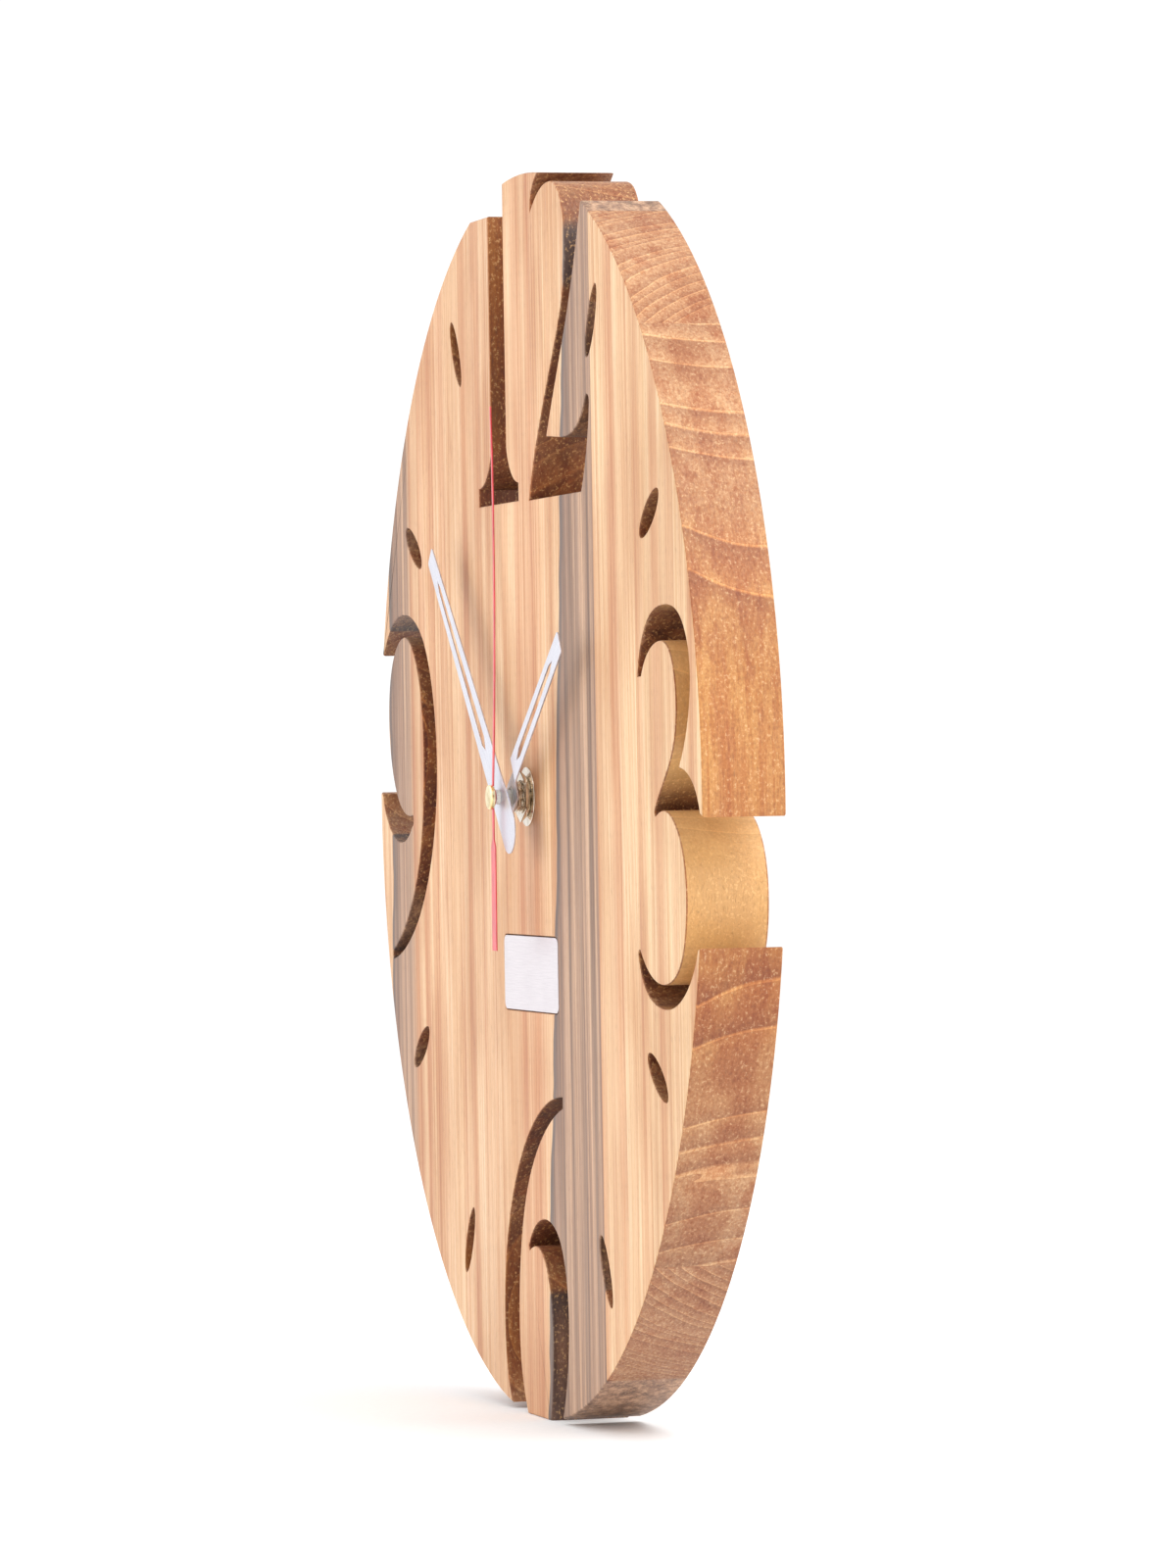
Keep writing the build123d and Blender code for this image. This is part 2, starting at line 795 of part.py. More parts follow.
bridge_side = 3.0  # peg to the bridge's side
bridge_end = 2.7
bridge_corner = 1.5
with BuildPart() as bridge:
    with BuildSketch(layer(bridge_layer[1])):
        with Locations((0, (peg_low + peg_high) / 2)):
            RectangleRounded(
                2 * (peg_x + bridge_side), peg_high - peg_low + 2 * bridge_end, bridge_corner
            )
        for at in pegs:
            with Locations(at):
                Circle(peg_radius + thread_gap, mode=Mode.SUBTRACT)
        for at, radius in (
            (shaft, minute_tail_radius + running),
            (third_at, thin_arbor_radius + pivot_gap),
            (work_at, work_arbor_radius + pivot_gap),
            (knob_at, knob_shaft_radius + pivot_gap),
        ):
            with Locations(at):
                Circle(radius, mode=Mode.SUBTRACT)
    extrude(amount=bridge_layer[1] - bridge_layer[0])
save(bridge.part, "train_bridge")

well_gap = 0.4
boss_radius = 1.5
with BuildPart() as cover:
    block(
        -inner_half_width + cover_gap,
        inner_half_width - cover_gap,
        chamber_floor + cover_gap,
        chamber_top - cover_gap,
        case_depth,
        cover_thickness,
    )
    disc(knob_at, knob_radius + well_gap + case_wall, cover_depth, cover_depth - knob_well[0])
    disc(knob_at, knob_radius + well_gap, case_depth, case_depth - knob_well[1], Mode.SUBTRACT)
    disc(knob_at, knob_shaft_radius + pivot_gap, case_depth, case_depth, Mode.SUBTRACT)
    for at in (intermediate_at, rotor_at):
        disc(at, boss_radius, cover_depth, cover_depth - boss_front)
        disc(at, pin_radius, pivot_depth, pivot_depth - boss_front, Mode.SUBTRACT)
    for at, radius in ((third_at, thin_arbor_radius), (shaft, second_arbor_radius)):
        disc(at, radius + pivot_gap, pivot_depth, pivot_depth - cover_depth, Mode.SUBTRACT)
    for at in posts:
        disc(at, screw_radius + thread_gap, case_depth, cover_thickness, Mode.SUBTRACT)
        disc(at, screw_head_radius + thread_gap, case_depth, screw_head, Mode.SUBTRACT)
save(cover.part, "movement_cover")

shank_length = cover_thickness - screw_head + screw_length - screw_end_gap
with BuildPart() as screws:
    for at in posts:
        disc(at, screw_radius, case_depth - screw_head, shank_length)
        disc(at, screw_head_radius, case_depth, screw_head)
        with BuildSketch(layer(case_depth)):
            with Locations(at):
                Rectangle(screw_slot_length, screw_slot_width)
                Rectangle(screw_slot_width, screw_slot_length)
        extrude(amount=screw_slot_depth, mode=Mode.SUBTRACT)
save(screws.part, "cover_screws")

pin_reach = 0.3  # in front of the pinion on it
with BuildPart() as pins:
    disc(intermediate_at, pin_radius, pivot_depth, pivot_depth - second_layer[0] + pin_reach)
    disc(rotor_at, pin_radius, pivot_depth, pivot_depth - intermediate_layer[0] + pin_reach)
save(pins.part, "arbor_pins")

# ================================================================ hands' side of the train
case_to_face = gasket_thickness + web
hour_pipe_length = hour_wheel_layer[1] + case_to_face + hour_pipe_front
with BuildPart() as hour_wheel:
    wheel_teeth(shaft, hour_teeth, hour_module, 90, hour_wheel_layer)
    disc(shaft, hour_pipe_radius, hour_wheel_layer[1], hour_pipe_length)
    disc(
        shaft, minute_pipe_radius + running, hour_wheel_layer[1], hour_pipe_length, Mode.SUBTRACT
    )
save(hour_wheel.part, "hour_wheel")

cannon_gap = 0.3  # hour wheel to the cannon pinion's leaves
minute_pipe_end = hour_wheel_layer[1] + cannon_gap
minute_pipe_length = minute_pipe_end + case_to_face + minute_pipe_front
cannon_length = cannon_end + case_to_face + minute_pipe_front
with BuildPart() as cannon:
    disc(shaft, minute_pipe_radius, minute_pipe_end, minute_pipe_length)
    pinion_leaves(shaft, large_leaves, work_module, 90, (minute_pipe_end, cannon_layer[1]))
    disc(shaft, minute_tail_radius, cannon_end, cannon_end - cannon_layer[1])
    disc(shaft, second_arbor_radius + running, cannon_end, cannon_length, Mode.SUBTRACT)
save(cannon.part, "cannon_pinion")

work_arbor_front = case_floor - work_socket + end_gap
work_arbor_end = bridge_layer[1] - end_gap
with BuildPart() as minute_work:
    pinion_leaves(work_at, small_leaves, hour_module, -90, (hour_wheel_layer[0], work_layer[0]))
    wheel_teeth(work_at, minute_work_teeth, work_module, -90, work_layer)
    disc(work_at, work_arbor_radius, work_arbor_end, work_arbor_end - work_arbor_front)
save(minute_work.part, "minute_work_wheel")

knob_rear = case_depth - knob_recess
knob_seat = knob_well[1] + knob_seat_gap
with BuildPart() as knob:
    pinion_leaves(knob_at, large_leaves, knob_module, -90, cannon_layer)
    disc(knob_at, knob_shaft_radius, knob_seat, knob_seat - cannon_layer[1])
    disc(knob_at, knob_radius, knob_rear, knob_rear - knob_seat)
    with BuildSketch(layer(knob_rear)):
        with Locations(knob_at):
            with PolarLocations(knob_radius, knob_flutes):
                Circle(knob_flute_radius)
    extrude(amount=knob_rear - knob_seat, mode=Mode.SUBTRACT)
    with BuildSketch(layer(knob_rear)):
        with Locations(knob_at):
            Rectangle(knob_slot_length, knob_slot_width)
    extrude(amount=knob_slot_depth, mode=Mode.SUBTRACT)
save(knob.part, "setting_knob")

# ================================================================ motor's side of the train
spoke_count = 4
wheel_rim = 1.6  # pitch circle to the lightening holes
wheel_hub = 3.2


def lighten(at, pitch_radius, span):
    """Round lightening holes through a wheel's web."""
    outer = pitch_radius - wheel_rim
    inner = wheel_hub
    middle = (outer + inner) / 2
    with BuildSketch(layer(span[1])) as profile:
        with Locations(at):
            with PolarLocations(middle, spoke_count, start_angle=45):
                Circle((outer - inner) / 2)
    extrude(profile.sketch, amount=span[1] - span[0], mode=Mode.SUBTRACT)


with BuildPart() as centre_wheel:
    wheel_teeth(shaft, centre_teeth, centre_module, third_direction, centre_layer)
    disc(
        shaft,
        minute_tail_radius + pivot_gap,
        centre_layer[1],
        centre_layer[1] - centre_layer[0],
        Mode.SUBTRACT,
    )
    lighten(shaft, centre_teeth * centre_module / 2, centre_layer)
save(centre_wheel.part, "centre_wheel")

bridge_gap = 0.3  # bridge to the third wheel's pinion
arbor_setback = 0.2  # bridge's front to the end of the third wheel's arbor
third_pinion_layer = (bridge_layer[1] + bridge_gap, third_layer[0])
third_arbor_front = bridge_layer[0] + arbor_setback
arbor_end = pivot_depth - end_gap
with BuildPart() as third_wheel:
    wheel_teeth(third_at, third_teeth, third_module, third_direction + 180, third_layer)
    lighten(third_at, third_teeth * third_module / 2, third_layer)
    pinion_leaves(third_at, small_leaves, centre_module, third_direction + 180, third_pinion_layer)
    disc(
        third_at, thin_arbor_radius, third_pinion_layer[0], third_pinion_layer[0] - third_arbor_front
    )
    disc(third_at, thin_arbor_radius, arbor_end, arbor_end - third_layer[1])
save(third_wheel.part, "third_wheel")

cannon_gap = 0.15
second_pinion_layer = (cannon_end + cannon_gap, second_layer[0])
with BuildPart() as second_wheel:
    wheel_teeth(shaft, second_teeth, second_module, intermediate_direction, second_layer)
    pinion_leaves(shaft, small_leaves, third_module, third_direction, second_pinion_layer)
    disc(shaft, second_arbor_radius, arbor_end, arbor_end + case_to_face + second_arbor_front)
save(second_wheel.part, "second_wheel")

leaf_overlap = 0.1  # a pinion's leaves stand this far in front of the wheel they meet
hub_radius = 0.8
intermediate_pinion_layer = (second_layer[0] - leaf_overlap, intermediate_layer[0])
with BuildPart() as intermediate_wheel:
    pinion_leaves(
        intermediate_at,
        small_leaves,
        second_module,
        intermediate_direction + 180,
        intermediate_pinion_layer,
    )
    wheel_teeth(
        intermediate_at, intermediate_teeth, rotor_module, rotor_direction, intermediate_layer
    )
    disc(intermediate_at, hub_radius, hub_end, hub_end - intermediate_layer[1])
    disc(intermediate_at, pin_radius + pivot_gap, hub_end, hub_end, Mode.SUBTRACT)
save(intermediate_wheel.part, "intermediate_wheel")

leaf_beyond = 0.2  # the rotor's leaves stand this far behind the wheel they drive
rotor_pinion_layer = (intermediate_layer[0] - leaf_overlap, intermediate_layer[1] + leaf_beyond)
with BuildPart() as rotor:
    pinion_leaves(rotor_at, small_leaves, rotor_module, rotor_direction + 180, rotor_pinion_layer)
    disc(rotor_at, hub_radius, hub_end, hub_end - rotor_pinion_layer[1])
    disc(rotor_at, pin_radius + pivot_gap, hub_end, hub_end, Mode.SUBTRACT)
save(rotor.part, "rotor_pinion")

magnet_length = magnet_layer[1] - magnet_layer[0]
with BuildPart() as magnet:
    disc(rotor_at, magnet_radius, magnet_layer[1], magnet_length)
    disc(rotor_at, hub_radius, magnet_layer[1], magnet_length, Mode.SUBTRACT)
save(magnet.part, "rotor_magnet")

# ================================================================ stepping motor's coil
coil_wall_room = 2.2
coil_rise = 7.2  # chamber floor to the coil
coil_x = inner_half_width - coil_radius - coil_wall_room
coil_low = chamber_floor + coil_rise
coil_high = coil_low + coil_height
arm = 3.2
neck = 2.0  # how far the stator narrows beside the rotor
stator_gap = 0.5
stator_edge = 0.5
stator_hole = magnet_radius + stator_gap
limb_left = rotor_at[0] - stator_hole - stator_edge
limb_right = rotor_at[0] + stator_hole + stator_edge

with BuildPart() as stator:
    with BuildSketch(layer(stator_layer[1])):
        with BuildLine():
            Polyline(
                (limb_left, coil_high + arm),
                (coil_x + arm / 2, coil_high + arm),
                (coil_x + arm / 2, coil_high),
                (limb_right - neck, coil_high),
                (limb_right - neck, rotor_at[1] + stator_hole + neck / 2),
                (limb_right, rotor_at[1] + stator_hole),
                (limb_right, rotor_at[1] - stator_hole),
                (limb_right - neck, coil_low),
                (coil_x + arm / 2, coil_low),
                (coil_x + arm / 2, coil_low - arm),
                (limb_left + neck, coil_low - arm),
                (limb_left, rotor_at[1] - stator_hole + stator_edge),
                close=True,
            )
        make_face()
        with Locations(rotor_at):
            Circle(stator_hole, mode=Mode.SUBTRACT)
    extrude(amount=stator_layer[1] - stator_layer[0])
save(stator.part, "stator")

core_rear = stator_layer[0]
core_middle = core_rear - core_thickness / 2
with BuildPart() as core:
    block(
        coil_x - arm / 2, coil_x + arm / 2, coil_low - arm, coil_high + arm, core_rear, core_thickness
    )
save(core.part, "coil_core")

core_gap = 0.05
flange_thickness = 0.6
tube_wall = 0.5
tube_half_x = arm / 2 + core_gap + tube_wall
tube_half_y = core_thickness / 2 + core_gap + tube_wall
flange_lip = 0.1  # winding to the flange's edge
flange_half = coil_radius + flange_lip
bobbin_end_gap = 0.2
bobbin_low = coil_low + bobbin_end_gap
bobbin_high = coil_high - bobbin_end_gap
winding_corner = 1.2


def coil_slab(half_x, half_y, low, high, mode=Mode.ADD):
    """A block round the coil's core, from one height to another."""
    block(
        coil_x - half_x, coil_x + half_x, low, high, core_middle + half_y, 2 * half_y, mode
    )


with BuildPart() as bobbin:
    coil_slab(tube_half_x, tube_half_y, bobbin_low, bobbin_high)
    for low in (bobbin_low, bobbin_high - flange_thickness):
        coil_slab(flange_half, flange_half, low, low + flange_thickness)
    coil_slab(arm / 2 + core_gap, core_thickness / 2 + core_gap, coil_low, coil_high, Mode.SUBTRACT)
save(bobbin.part, "coil_bobbin")

winding_low = bobbin_low + flange_thickness + core_gap
winding_high = bobbin_high - flange_thickness - core_gap
with BuildPart() as winding:
    coil_slab(coil_radius, coil_radius, winding_low, winding_high)
    fillet(winding.edges().filter_by(Axis.Z), winding_corner)
    coil_slab(tube_half_x + core_gap, tube_half_y + core_gap, winding_low, winding_high, Mode.SUBTRACT)
save(winding.part, "coil_winding")

# ================================================================ electronics
board_gap = 0.5  # board to the case's walls
board_width = 16.8
board_height = 15.3
post_clearance = 0.2
board_thickness = board_layer[1] - board_layer[0]
board_left = -inner_half_width + board_gap
board_right = board_left + board_width
board_high = chamber_top - board_gap
board_low = board_high - board_height
with BuildPart() as circuit_board:
    block(board_left, board_right, board_low, board_high, board_layer[1], board_thickness)
    disc(posts[2], post_radius + post_clearance, board_layer[1], board_thickness, Mode.SUBTRACT)
save(circuit_board.part, "circuit_board")

chip_radius = 2.6
chip_height = 0.8
chip_edge = 0.5
chip_from_left = 7.9
chip_from_bottom = 4.6
chip_at = (board_left + chip_from_left, board_low + chip_from_bottom)
with BuildPart() as chip:
    disc(chip_at, chip_radius, board_layer[1] + chip_height, chip_height)
    fillet(chip.faces().sort_by(Axis.Y)[-1].edges(), chip_edge)
save(chip.part, "driver_chip")

crystal_radius = 1.0
crystal_length = 6.0
crystal_edge = 0.25
crystal_gap = 0.05
crystal_depth = board_layer[1] + crystal_gap + crystal_radius
crystal_from_right = 2.9
crystal_from_bottom = 3.0
crystal_at = (board_right - crystal_from_right, board_low + crystal_from_bottom)
with BuildPart() as crystal:
    with BuildSketch(
        Plane(
            origin=(crystal_at[0], case_front + crystal_depth, shaft_height + crystal_at[1]),
            z_dir=(0, 0, 1),
        )
    ):
        Circle(crystal_radius)
    extrude(amount=crystal_length)
    fillet(crystal.edges(), crystal_edge)
save(crystal.part, "quartz_crystal")

# ================================================================ battery and contacts
battery_axis = (case_front + battery_depth, shaft_height + battery_height)
can_length = battery_length - battery_nub_length
can_edge = 0.6
nub_root = 0.5  # how far the nub reaches into the can
with BuildPart() as battery:
    with BuildSketch(Plane.YZ.offset(-battery_length / 2)):
        with Locations(battery_axis):
            Circle(battery_radius)
    extrude(amount=can_length)
    fillet(battery.edges().filter_by(GeomType.CIRCLE), can_edge)
    with BuildSketch(Plane.YZ.offset(battery_length / 2)):
        with Locations(battery_axis):
            Circle(battery_nub_radius)
    extrude(amount=-battery_nub_length - nub_root)
save(battery.part, "battery")


contact_margin = 1.5  # strip to the bay's floor and to its open back
contact_reach = 3.0  # how far the strip's tip passes the battery's axis


def contact(side):
    """A folded spring strip between the bay's end wall and the battery."""
    wall_x = side * inner_half_width
    tip_x = side * (battery_length / 2)
    inward = -side * contact_thickness
    fold = case_front + case_floor + contact_margin
    rear = case_front + case_depth - contact_margin
    tip = case_front + battery_depth + contact_reach
    with BuildSketch(Plane.XY.offset(shaft_height + battery_height - contact_width / 2)) as profile:
        with BuildLine():
            Polyline(
                (wall_x, fold),
                (wall_x, rear),
                (wall_x + inward, rear),
                (wall_x + inward, fold + contact_thickness),
                (tip_x - inward, fold + contact_thickness),
                (tip_x - inward, tip),
                (tip_x, tip),
                (tip_x, fold),
                close=True,
            )
        make_face()
    extrude(profile.sketch, amount=contact_width)


with BuildPart() as positive_contact:
    contact(1)
save(positive_contact.part, "contact_positive")

with BuildPart() as negative_contact:
    contact(-1)
save(negative_contact.part, "contact_negative")
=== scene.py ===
import json
from math import atan2, cos, pi, radians, sin

import bmesh
import bpy
from mathutils import Matrix, Vector


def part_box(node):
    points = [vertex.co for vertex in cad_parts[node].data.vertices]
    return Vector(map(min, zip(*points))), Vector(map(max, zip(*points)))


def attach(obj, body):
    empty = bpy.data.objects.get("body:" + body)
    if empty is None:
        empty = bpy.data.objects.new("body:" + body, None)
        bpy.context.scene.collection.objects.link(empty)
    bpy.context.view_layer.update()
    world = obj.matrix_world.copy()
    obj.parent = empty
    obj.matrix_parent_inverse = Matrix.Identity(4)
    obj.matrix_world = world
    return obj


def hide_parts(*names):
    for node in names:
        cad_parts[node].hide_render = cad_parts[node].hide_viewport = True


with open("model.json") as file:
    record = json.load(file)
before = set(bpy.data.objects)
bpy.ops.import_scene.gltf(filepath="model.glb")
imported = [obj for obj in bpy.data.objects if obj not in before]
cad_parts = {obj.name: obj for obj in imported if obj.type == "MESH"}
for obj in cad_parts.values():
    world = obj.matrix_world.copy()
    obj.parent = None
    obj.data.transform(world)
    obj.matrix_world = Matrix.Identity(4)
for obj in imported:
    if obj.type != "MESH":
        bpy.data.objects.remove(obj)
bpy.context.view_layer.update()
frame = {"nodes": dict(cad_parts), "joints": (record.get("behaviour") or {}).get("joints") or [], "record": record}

# Lengths are in metres, as in the frame. Z is up, the dial faces -Y and X is to the right.
MM = 0.001

# ---------------------------------------------------------------- places read from the frame
BODIES = {}
for body_name, members in frame["record"]["behaviour"]["bodies"].items():
    for member in members:
        BODIES[member] = body_name
JOINT_AT = {joint["name"]: Vector(joint["pos_m"]) for joint in frame["joints"]}

SHAFT = JOINT_AT["minute_hand_turn"]
STAVES = sorted(node for node in frame["nodes"] if node.startswith("dial_stave"))
board_low, board_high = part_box(STAVES[len(STAVES) // 2])
FACE_Y = board_low.y
BACK_Y = board_high.y
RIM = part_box(STAVES[-1])[1].x
GLUE_PLANES = [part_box(node)[0].x for node in STAVES[1:]]


# ---------------------------------------------------------------- materials
def srgb(red, green, blue):
    """A colour given as 0 to 255 display values, turned into the linear values nodes use."""
    def linear(value):
        share = value / 255
        return share / 12.92 if share <= 0.04045 else ((share + 0.055) / 1.055) ** 2.4

    return (linear(red), linear(green), linear(blue), 1.0)


WHITE = srgb(255, 255, 255)


class Recipe:
    """One material's node tree, with short ways to add nodes and to join them."""

    def __init__(self, name):
        self.material = bpy.data.materials.new(name)
        self.material.use_nodes = True
        self.tree = self.material.node_tree
        self.shader = self.tree.nodes["Principled BSDF"]
        self.coords = self.tree.nodes.new("ShaderNodeTexCoord")
        self.here = self.coords.outputs["Object"]

    def put(self, socket, value):
        """Joins a socket to another node's output, or sets it to a constant."""
        if isinstance(value, bpy.types.NodeSocket):
            self.tree.links.new(value, socket)
        else:
            socket.default_value = value

    def node(self, kind, **settings):
        made = self.tree.nodes.new("ShaderNode" + kind)
        for name, value in settings.items():
            setattr(made, name, value)
        return made

    def maths(self, operation, first, second=0.0, third=0.0):
        made = self.node("Math", operation=operation)
        for socket, value in zip(made.inputs, (first, second, third)):
            self.put(socket, value)
        return made.outputs[0]

    def stretched(self, size, seed=0.0, turn=(0.0, 0.0, 0.0)):
        """Coordinates that pass 1 for every size millimetres along X, Y and Z."""
        made = self.node("Mapping", vector_type="TEXTURE")
        self.put(made.inputs["Vector"], self.here)
        made.inputs["Location"].default_value = (seed * MM, seed * 0.7 * MM, seed * 1.3 * MM)
        made.inputs["Rotation"].default_value = turn
        made.inputs["Scale"].default_value = [side * MM for side in size]
        return made.outputs[0]

    def noise(self, size, seed=0.0, detail=2.0, rough=0.5, turn=(0.0, 0.0, 0.0)):
        made = self.node("TexNoise")
        self.put(made.inputs["Vector"], self.stretched(size, seed, turn))
        made.inputs["Scale"].default_value = 1.0
        made.inputs["Detail"].default_value = detail
        made.inputs["Roughness"].default_value = rough
        return made.outputs["Fac"]

    def cells(self, size, seed=0.0):
        """Distance to the middle of the nearest of many scattered cells."""
        made = self.node("TexVoronoi")
        self.put(made.inputs["Vector"], self.stretched(size, seed))
        made.inputs["Scale"].default_value = 1.0
        return made.outputs["Distance"]

    def between(self, value, low, high, out_low=0.0, out_high=1.0):
        """A smooth step from out_low to out_high as value goes from low to high."""
        made = self.node("MapRange", interpolation_type="SMOOTHSTEP")
        for name, setting in (
            ("Value", value), ("From Min", low), ("From Max", high),
            ("To Min", out_low), ("To Max", out_high),
        ):
            self.put(made.inputs[name], setting)
        return made.outputs["Result"]

    def ramp(self, value, *stops):
        made = self.node("ValToRGB")
        self.put(made.inputs[0], value)
        elements = made.color_ramp.elements
        while len(elements) < len(stops):
            elements.new(0.5)
        for element, (place, colour) in zip(elements, stops):
            element.position = place
            element.color = colour
        return made.outputs["Color"]

    def mix(self, share, first, second, kind="MIX"):
        made = self.node("Mix", data_type="RGBA", blend_type=kind, clamp_factor=True)
        self.put(made.inputs["Factor"], share)
        self.put(made.inputs[6], first)
        self.put(made.inputs[7], second)
        return made.outputs[2]

    def axis(self, socket, name):
        made = self.node("SeparateXYZ")
        self.put(made.inputs[0], socket)
        return made.outputs[name]

    def millimetres(self, name):
        """X, Y or Z of the shaded point, in millimetres."""
        return self.maths("MULTIPLY", self.axis(self.here, name), 1 / MM)

    def bump(self, height, depth):
        """Raises the surface by depth millimetres where height is 1."""
        made = self.node("Bump")
        made.inputs["Strength"].default_value = 1.0
        made.inputs["Distance"].default_value = depth * MM
        self.put(made.inputs["Height"], height)
        self.put(self.shader.inputs["Normal"], made.outputs["Normal"])

    def set(self, **values):
        """Sets the shader's inputs, their names written with _ for a space."""
        for name, value in values.items():
            self.put(self.shader.inputs[name.replace("_", " ")], value)
        return self.material


# Each stave comes from another plank: the pith's place beside it, the spacing of its rings, its
# tint and how strongly painted shade darkens its cut walls, all given here. Heartwood is a stretch
# of X in millimetres at the foot, with its lean to the right per millimetre of height, or None.
PLANKS = {
    "dial_stave_1": dict(
        pith=(-215, 34), spacing=3.6, tint=(250, 240, 232), burnt=0.9, heart=(-142, -116, 0.02)
    ),
    "dial_stave_2": dict(pith=(-170, 20), spacing=3.0, tint=(255, 244, 236), burnt=1.0, heart=None),
    "dial_stave_3": dict(pith=(-150, 38), spacing=2.7, tint=(250, 238, 230), burnt=0.7, heart=None),
    "dial_stave_4": dict(
        pith=(-90, 30), spacing=3.1, tint=(255, 242, 232), burnt=0.9, heart=(10, 80, 0.11)
    ),
    "dial_stave_5": dict(
        pith=(-60, 26), spacing=3.3, tint=(252, 240, 230), burnt=1.0, heart=(10, 80, 0.11)
    ),
    "dial_stave_6": dict(pith=(160, 34), spacing=2.5, tint=(255, 246, 236), burnt=1.0, heart=None),
    "dial_stave_7": dict(pith=(30, 10), spacing=5.6, tint=(255, 250, 240), burnt=0.9, heart=None),
}

# Lengths in millimetres.
PLANK_TILT = (radians(1.2), radians(-1.0), 0)  # planks are never sawn quite along the pith
PLANK_LENGTH = 1e6  # the rings hardly change along the plank
RING_WANDER = 9.0
RING_RIPPLE = 1.2
RING_WIDTHS = 7.0  # how much wide and narrow years move the rings
YEARS_ALIKE = 7.5  # the stretch over which neighbouring rings are about as wide
HEART_WAVE = 10.0  # how far heartwood's border wanders
HEART_MARGIN = 20.0  # width of the greyer wood inside that border
SHADE_FADE = (112, 132)  # from the shaft, where the painted shade on the cut walls fades towards the rim
LIT_WALLS_FROM = (110, 124)  # X where painted light begins to turn the cut walls near the right-hand rim pale gold

# The share of a normal's Y between which side grain gives way to the board's face.
FACE_TURN = (0.3, 0.85)


def ring_phase(look, plank, seed):
    """Growth rings round the plank's pith, wandering a little along the grain."""
    made = look.node("Mapping", vector_type="TEXTURE")
    look.put(made.inputs["Vector"], look.here)
    pith_x, pith_y = plank["pith"]
    made.inputs["Location"].default_value = (pith_x * MM, pith_y * MM, SHAFT.z)
    made.inputs["Rotation"].default_value = PLANK_TILT
    made.inputs["Scale"].default_value = (MM, MM, PLANK_LENGTH * MM)
    length = look.node("VectorMath", operation="LENGTH")
    look.put(length.inputs[0], made.outputs[0])
    distance = length.outputs["Value"]
    slow = look.noise((34, 80, 170), seed, detail=1.5)
    ripple = look.noise((7, 24, 60), seed + 5, detail=2)
    width = look.node("TexNoise", noise_dimensions="1D")
    look.put(width.inputs["W"], look.maths("DIVIDE", distance, YEARS_ALIKE))
    width.inputs["Scale"].default_value = 1.0
    width.inputs["Detail"].default_value = 1.0
    total = look.maths("MULTIPLY_ADD", slow, RING_WANDER, distance)
    total = look.maths("MULTIPLY_ADD", ripple, RING_RIPPLE, total)
    total = look.maths("MULTIPLY_ADD", width.outputs["Fac"], RING_WIDTHS, total)
    return look.maths("DIVIDE", total, plank["spacing"])


def facing_out(look, on_sides, on_face):
    """One value on the board's sides and another on its face and back."""
    facing = look.maths("ABSOLUTE", look.axis(look.coords.outputs["Normal"], "Y"))
    return look.between(facing, *FACE_TURN, on_sides, on_face)


def ring_tones(look, plank, seed):
    """Rings in the colours of flat-sawn face, of long side grain and of end grain, the end grain made paler as
    painted light from above.
    """
    ring = look.maths("FRACT", ring_phase(look, plank, seed))
    face = look.ramp(
        ring,
        (0.0, srgb(211, 180, 148)),
        (0.07, srgb(220, 193, 161)),
        (0.45, srgb(225, 203, 173)),
        (0.9, srgb(229, 208, 179)),
        (1.0, srgb(216, 188, 156)),
    )
    rim = look.ramp(
        ring,
        (0.0, srgb(216, 168, 104)),
        (0.04, srgb(204, 152, 88)),
        (0.09, srgb(152, 99, 50)),
        (0.4, srgb(164, 111, 58)),
        (0.94, srgb(184, 134, 74)),
    )
    # End grain, partly its own colour and partly painted light: made paler for the light on the top of the rim.
    end = look.ramp(
        ring,
        (0.0, srgb(230, 200, 164)),
        (0.05, srgb(220, 184, 148)),
        (0.11, srgb(174, 136, 108)),
        (0.5, srgb(188, 150, 120)),
        (0.94, srgb(200, 164, 132)),
    )
    upward = look.maths("ABSOLUTE", look.axis(look.coords.outputs["Normal"], "Z"))
    side = look.mix(look.between(upward, 0.15, 0.7), rim, end)
    return look.mix(facing_out(look, 0.0, 1.0), side, face)


def figure(look, plank, seed, fibres, colour):
    """Broad strips, fine lines, fibres and slow patches over the rings, the plank's tint, and painted shade on
    surfaces facing down.
    """
    strips = look.ramp(
        look.noise((11, 11, 700), seed + 3, detail=2.5),
        (0.34, srgb(236, 208, 186)),
        (0.47, srgb(255, 252, 244)),
        (0.55, srgb(255, 250, 238)),
        (0.66, srgb(232, 202, 176)),
    )
    lines = look.ramp(
        look.noise((2.0, 2.0, 240), seed + 6, detail=4, rough=0.7),
        (0.36, srgb(222, 184, 150)),
        (0.5, WHITE),
    )
    grain = look.ramp(fibres, (0.33, srgb(232, 200, 172)), (0.6, WHITE))
    patches = look.ramp(
        look.noise((30, 30, 60), seed + 10, detail=2),
        (0.36, srgb(222, 200, 180)),
        (0.62, WHITE),
    )
    rising = look.axis(look.coords.outputs["Normal"], "Z")
    # Painted shade: surfaces facing down are darkened.
    painted_underside_shade = look.between(rising, -0.8, -0.2, 1.0, 0.0)
    for share, layer in (
        (0.9, strips),
        (0.6, lines),
        (0.6, grain),
        (0.7, patches),
        (1.0, srgb(*plank["tint"])),
        (painted_underside_shade, srgb(220, 214, 212)),
    ):
        colour = look.mix(share, colour, layer, "MULTIPLY")
    return colour


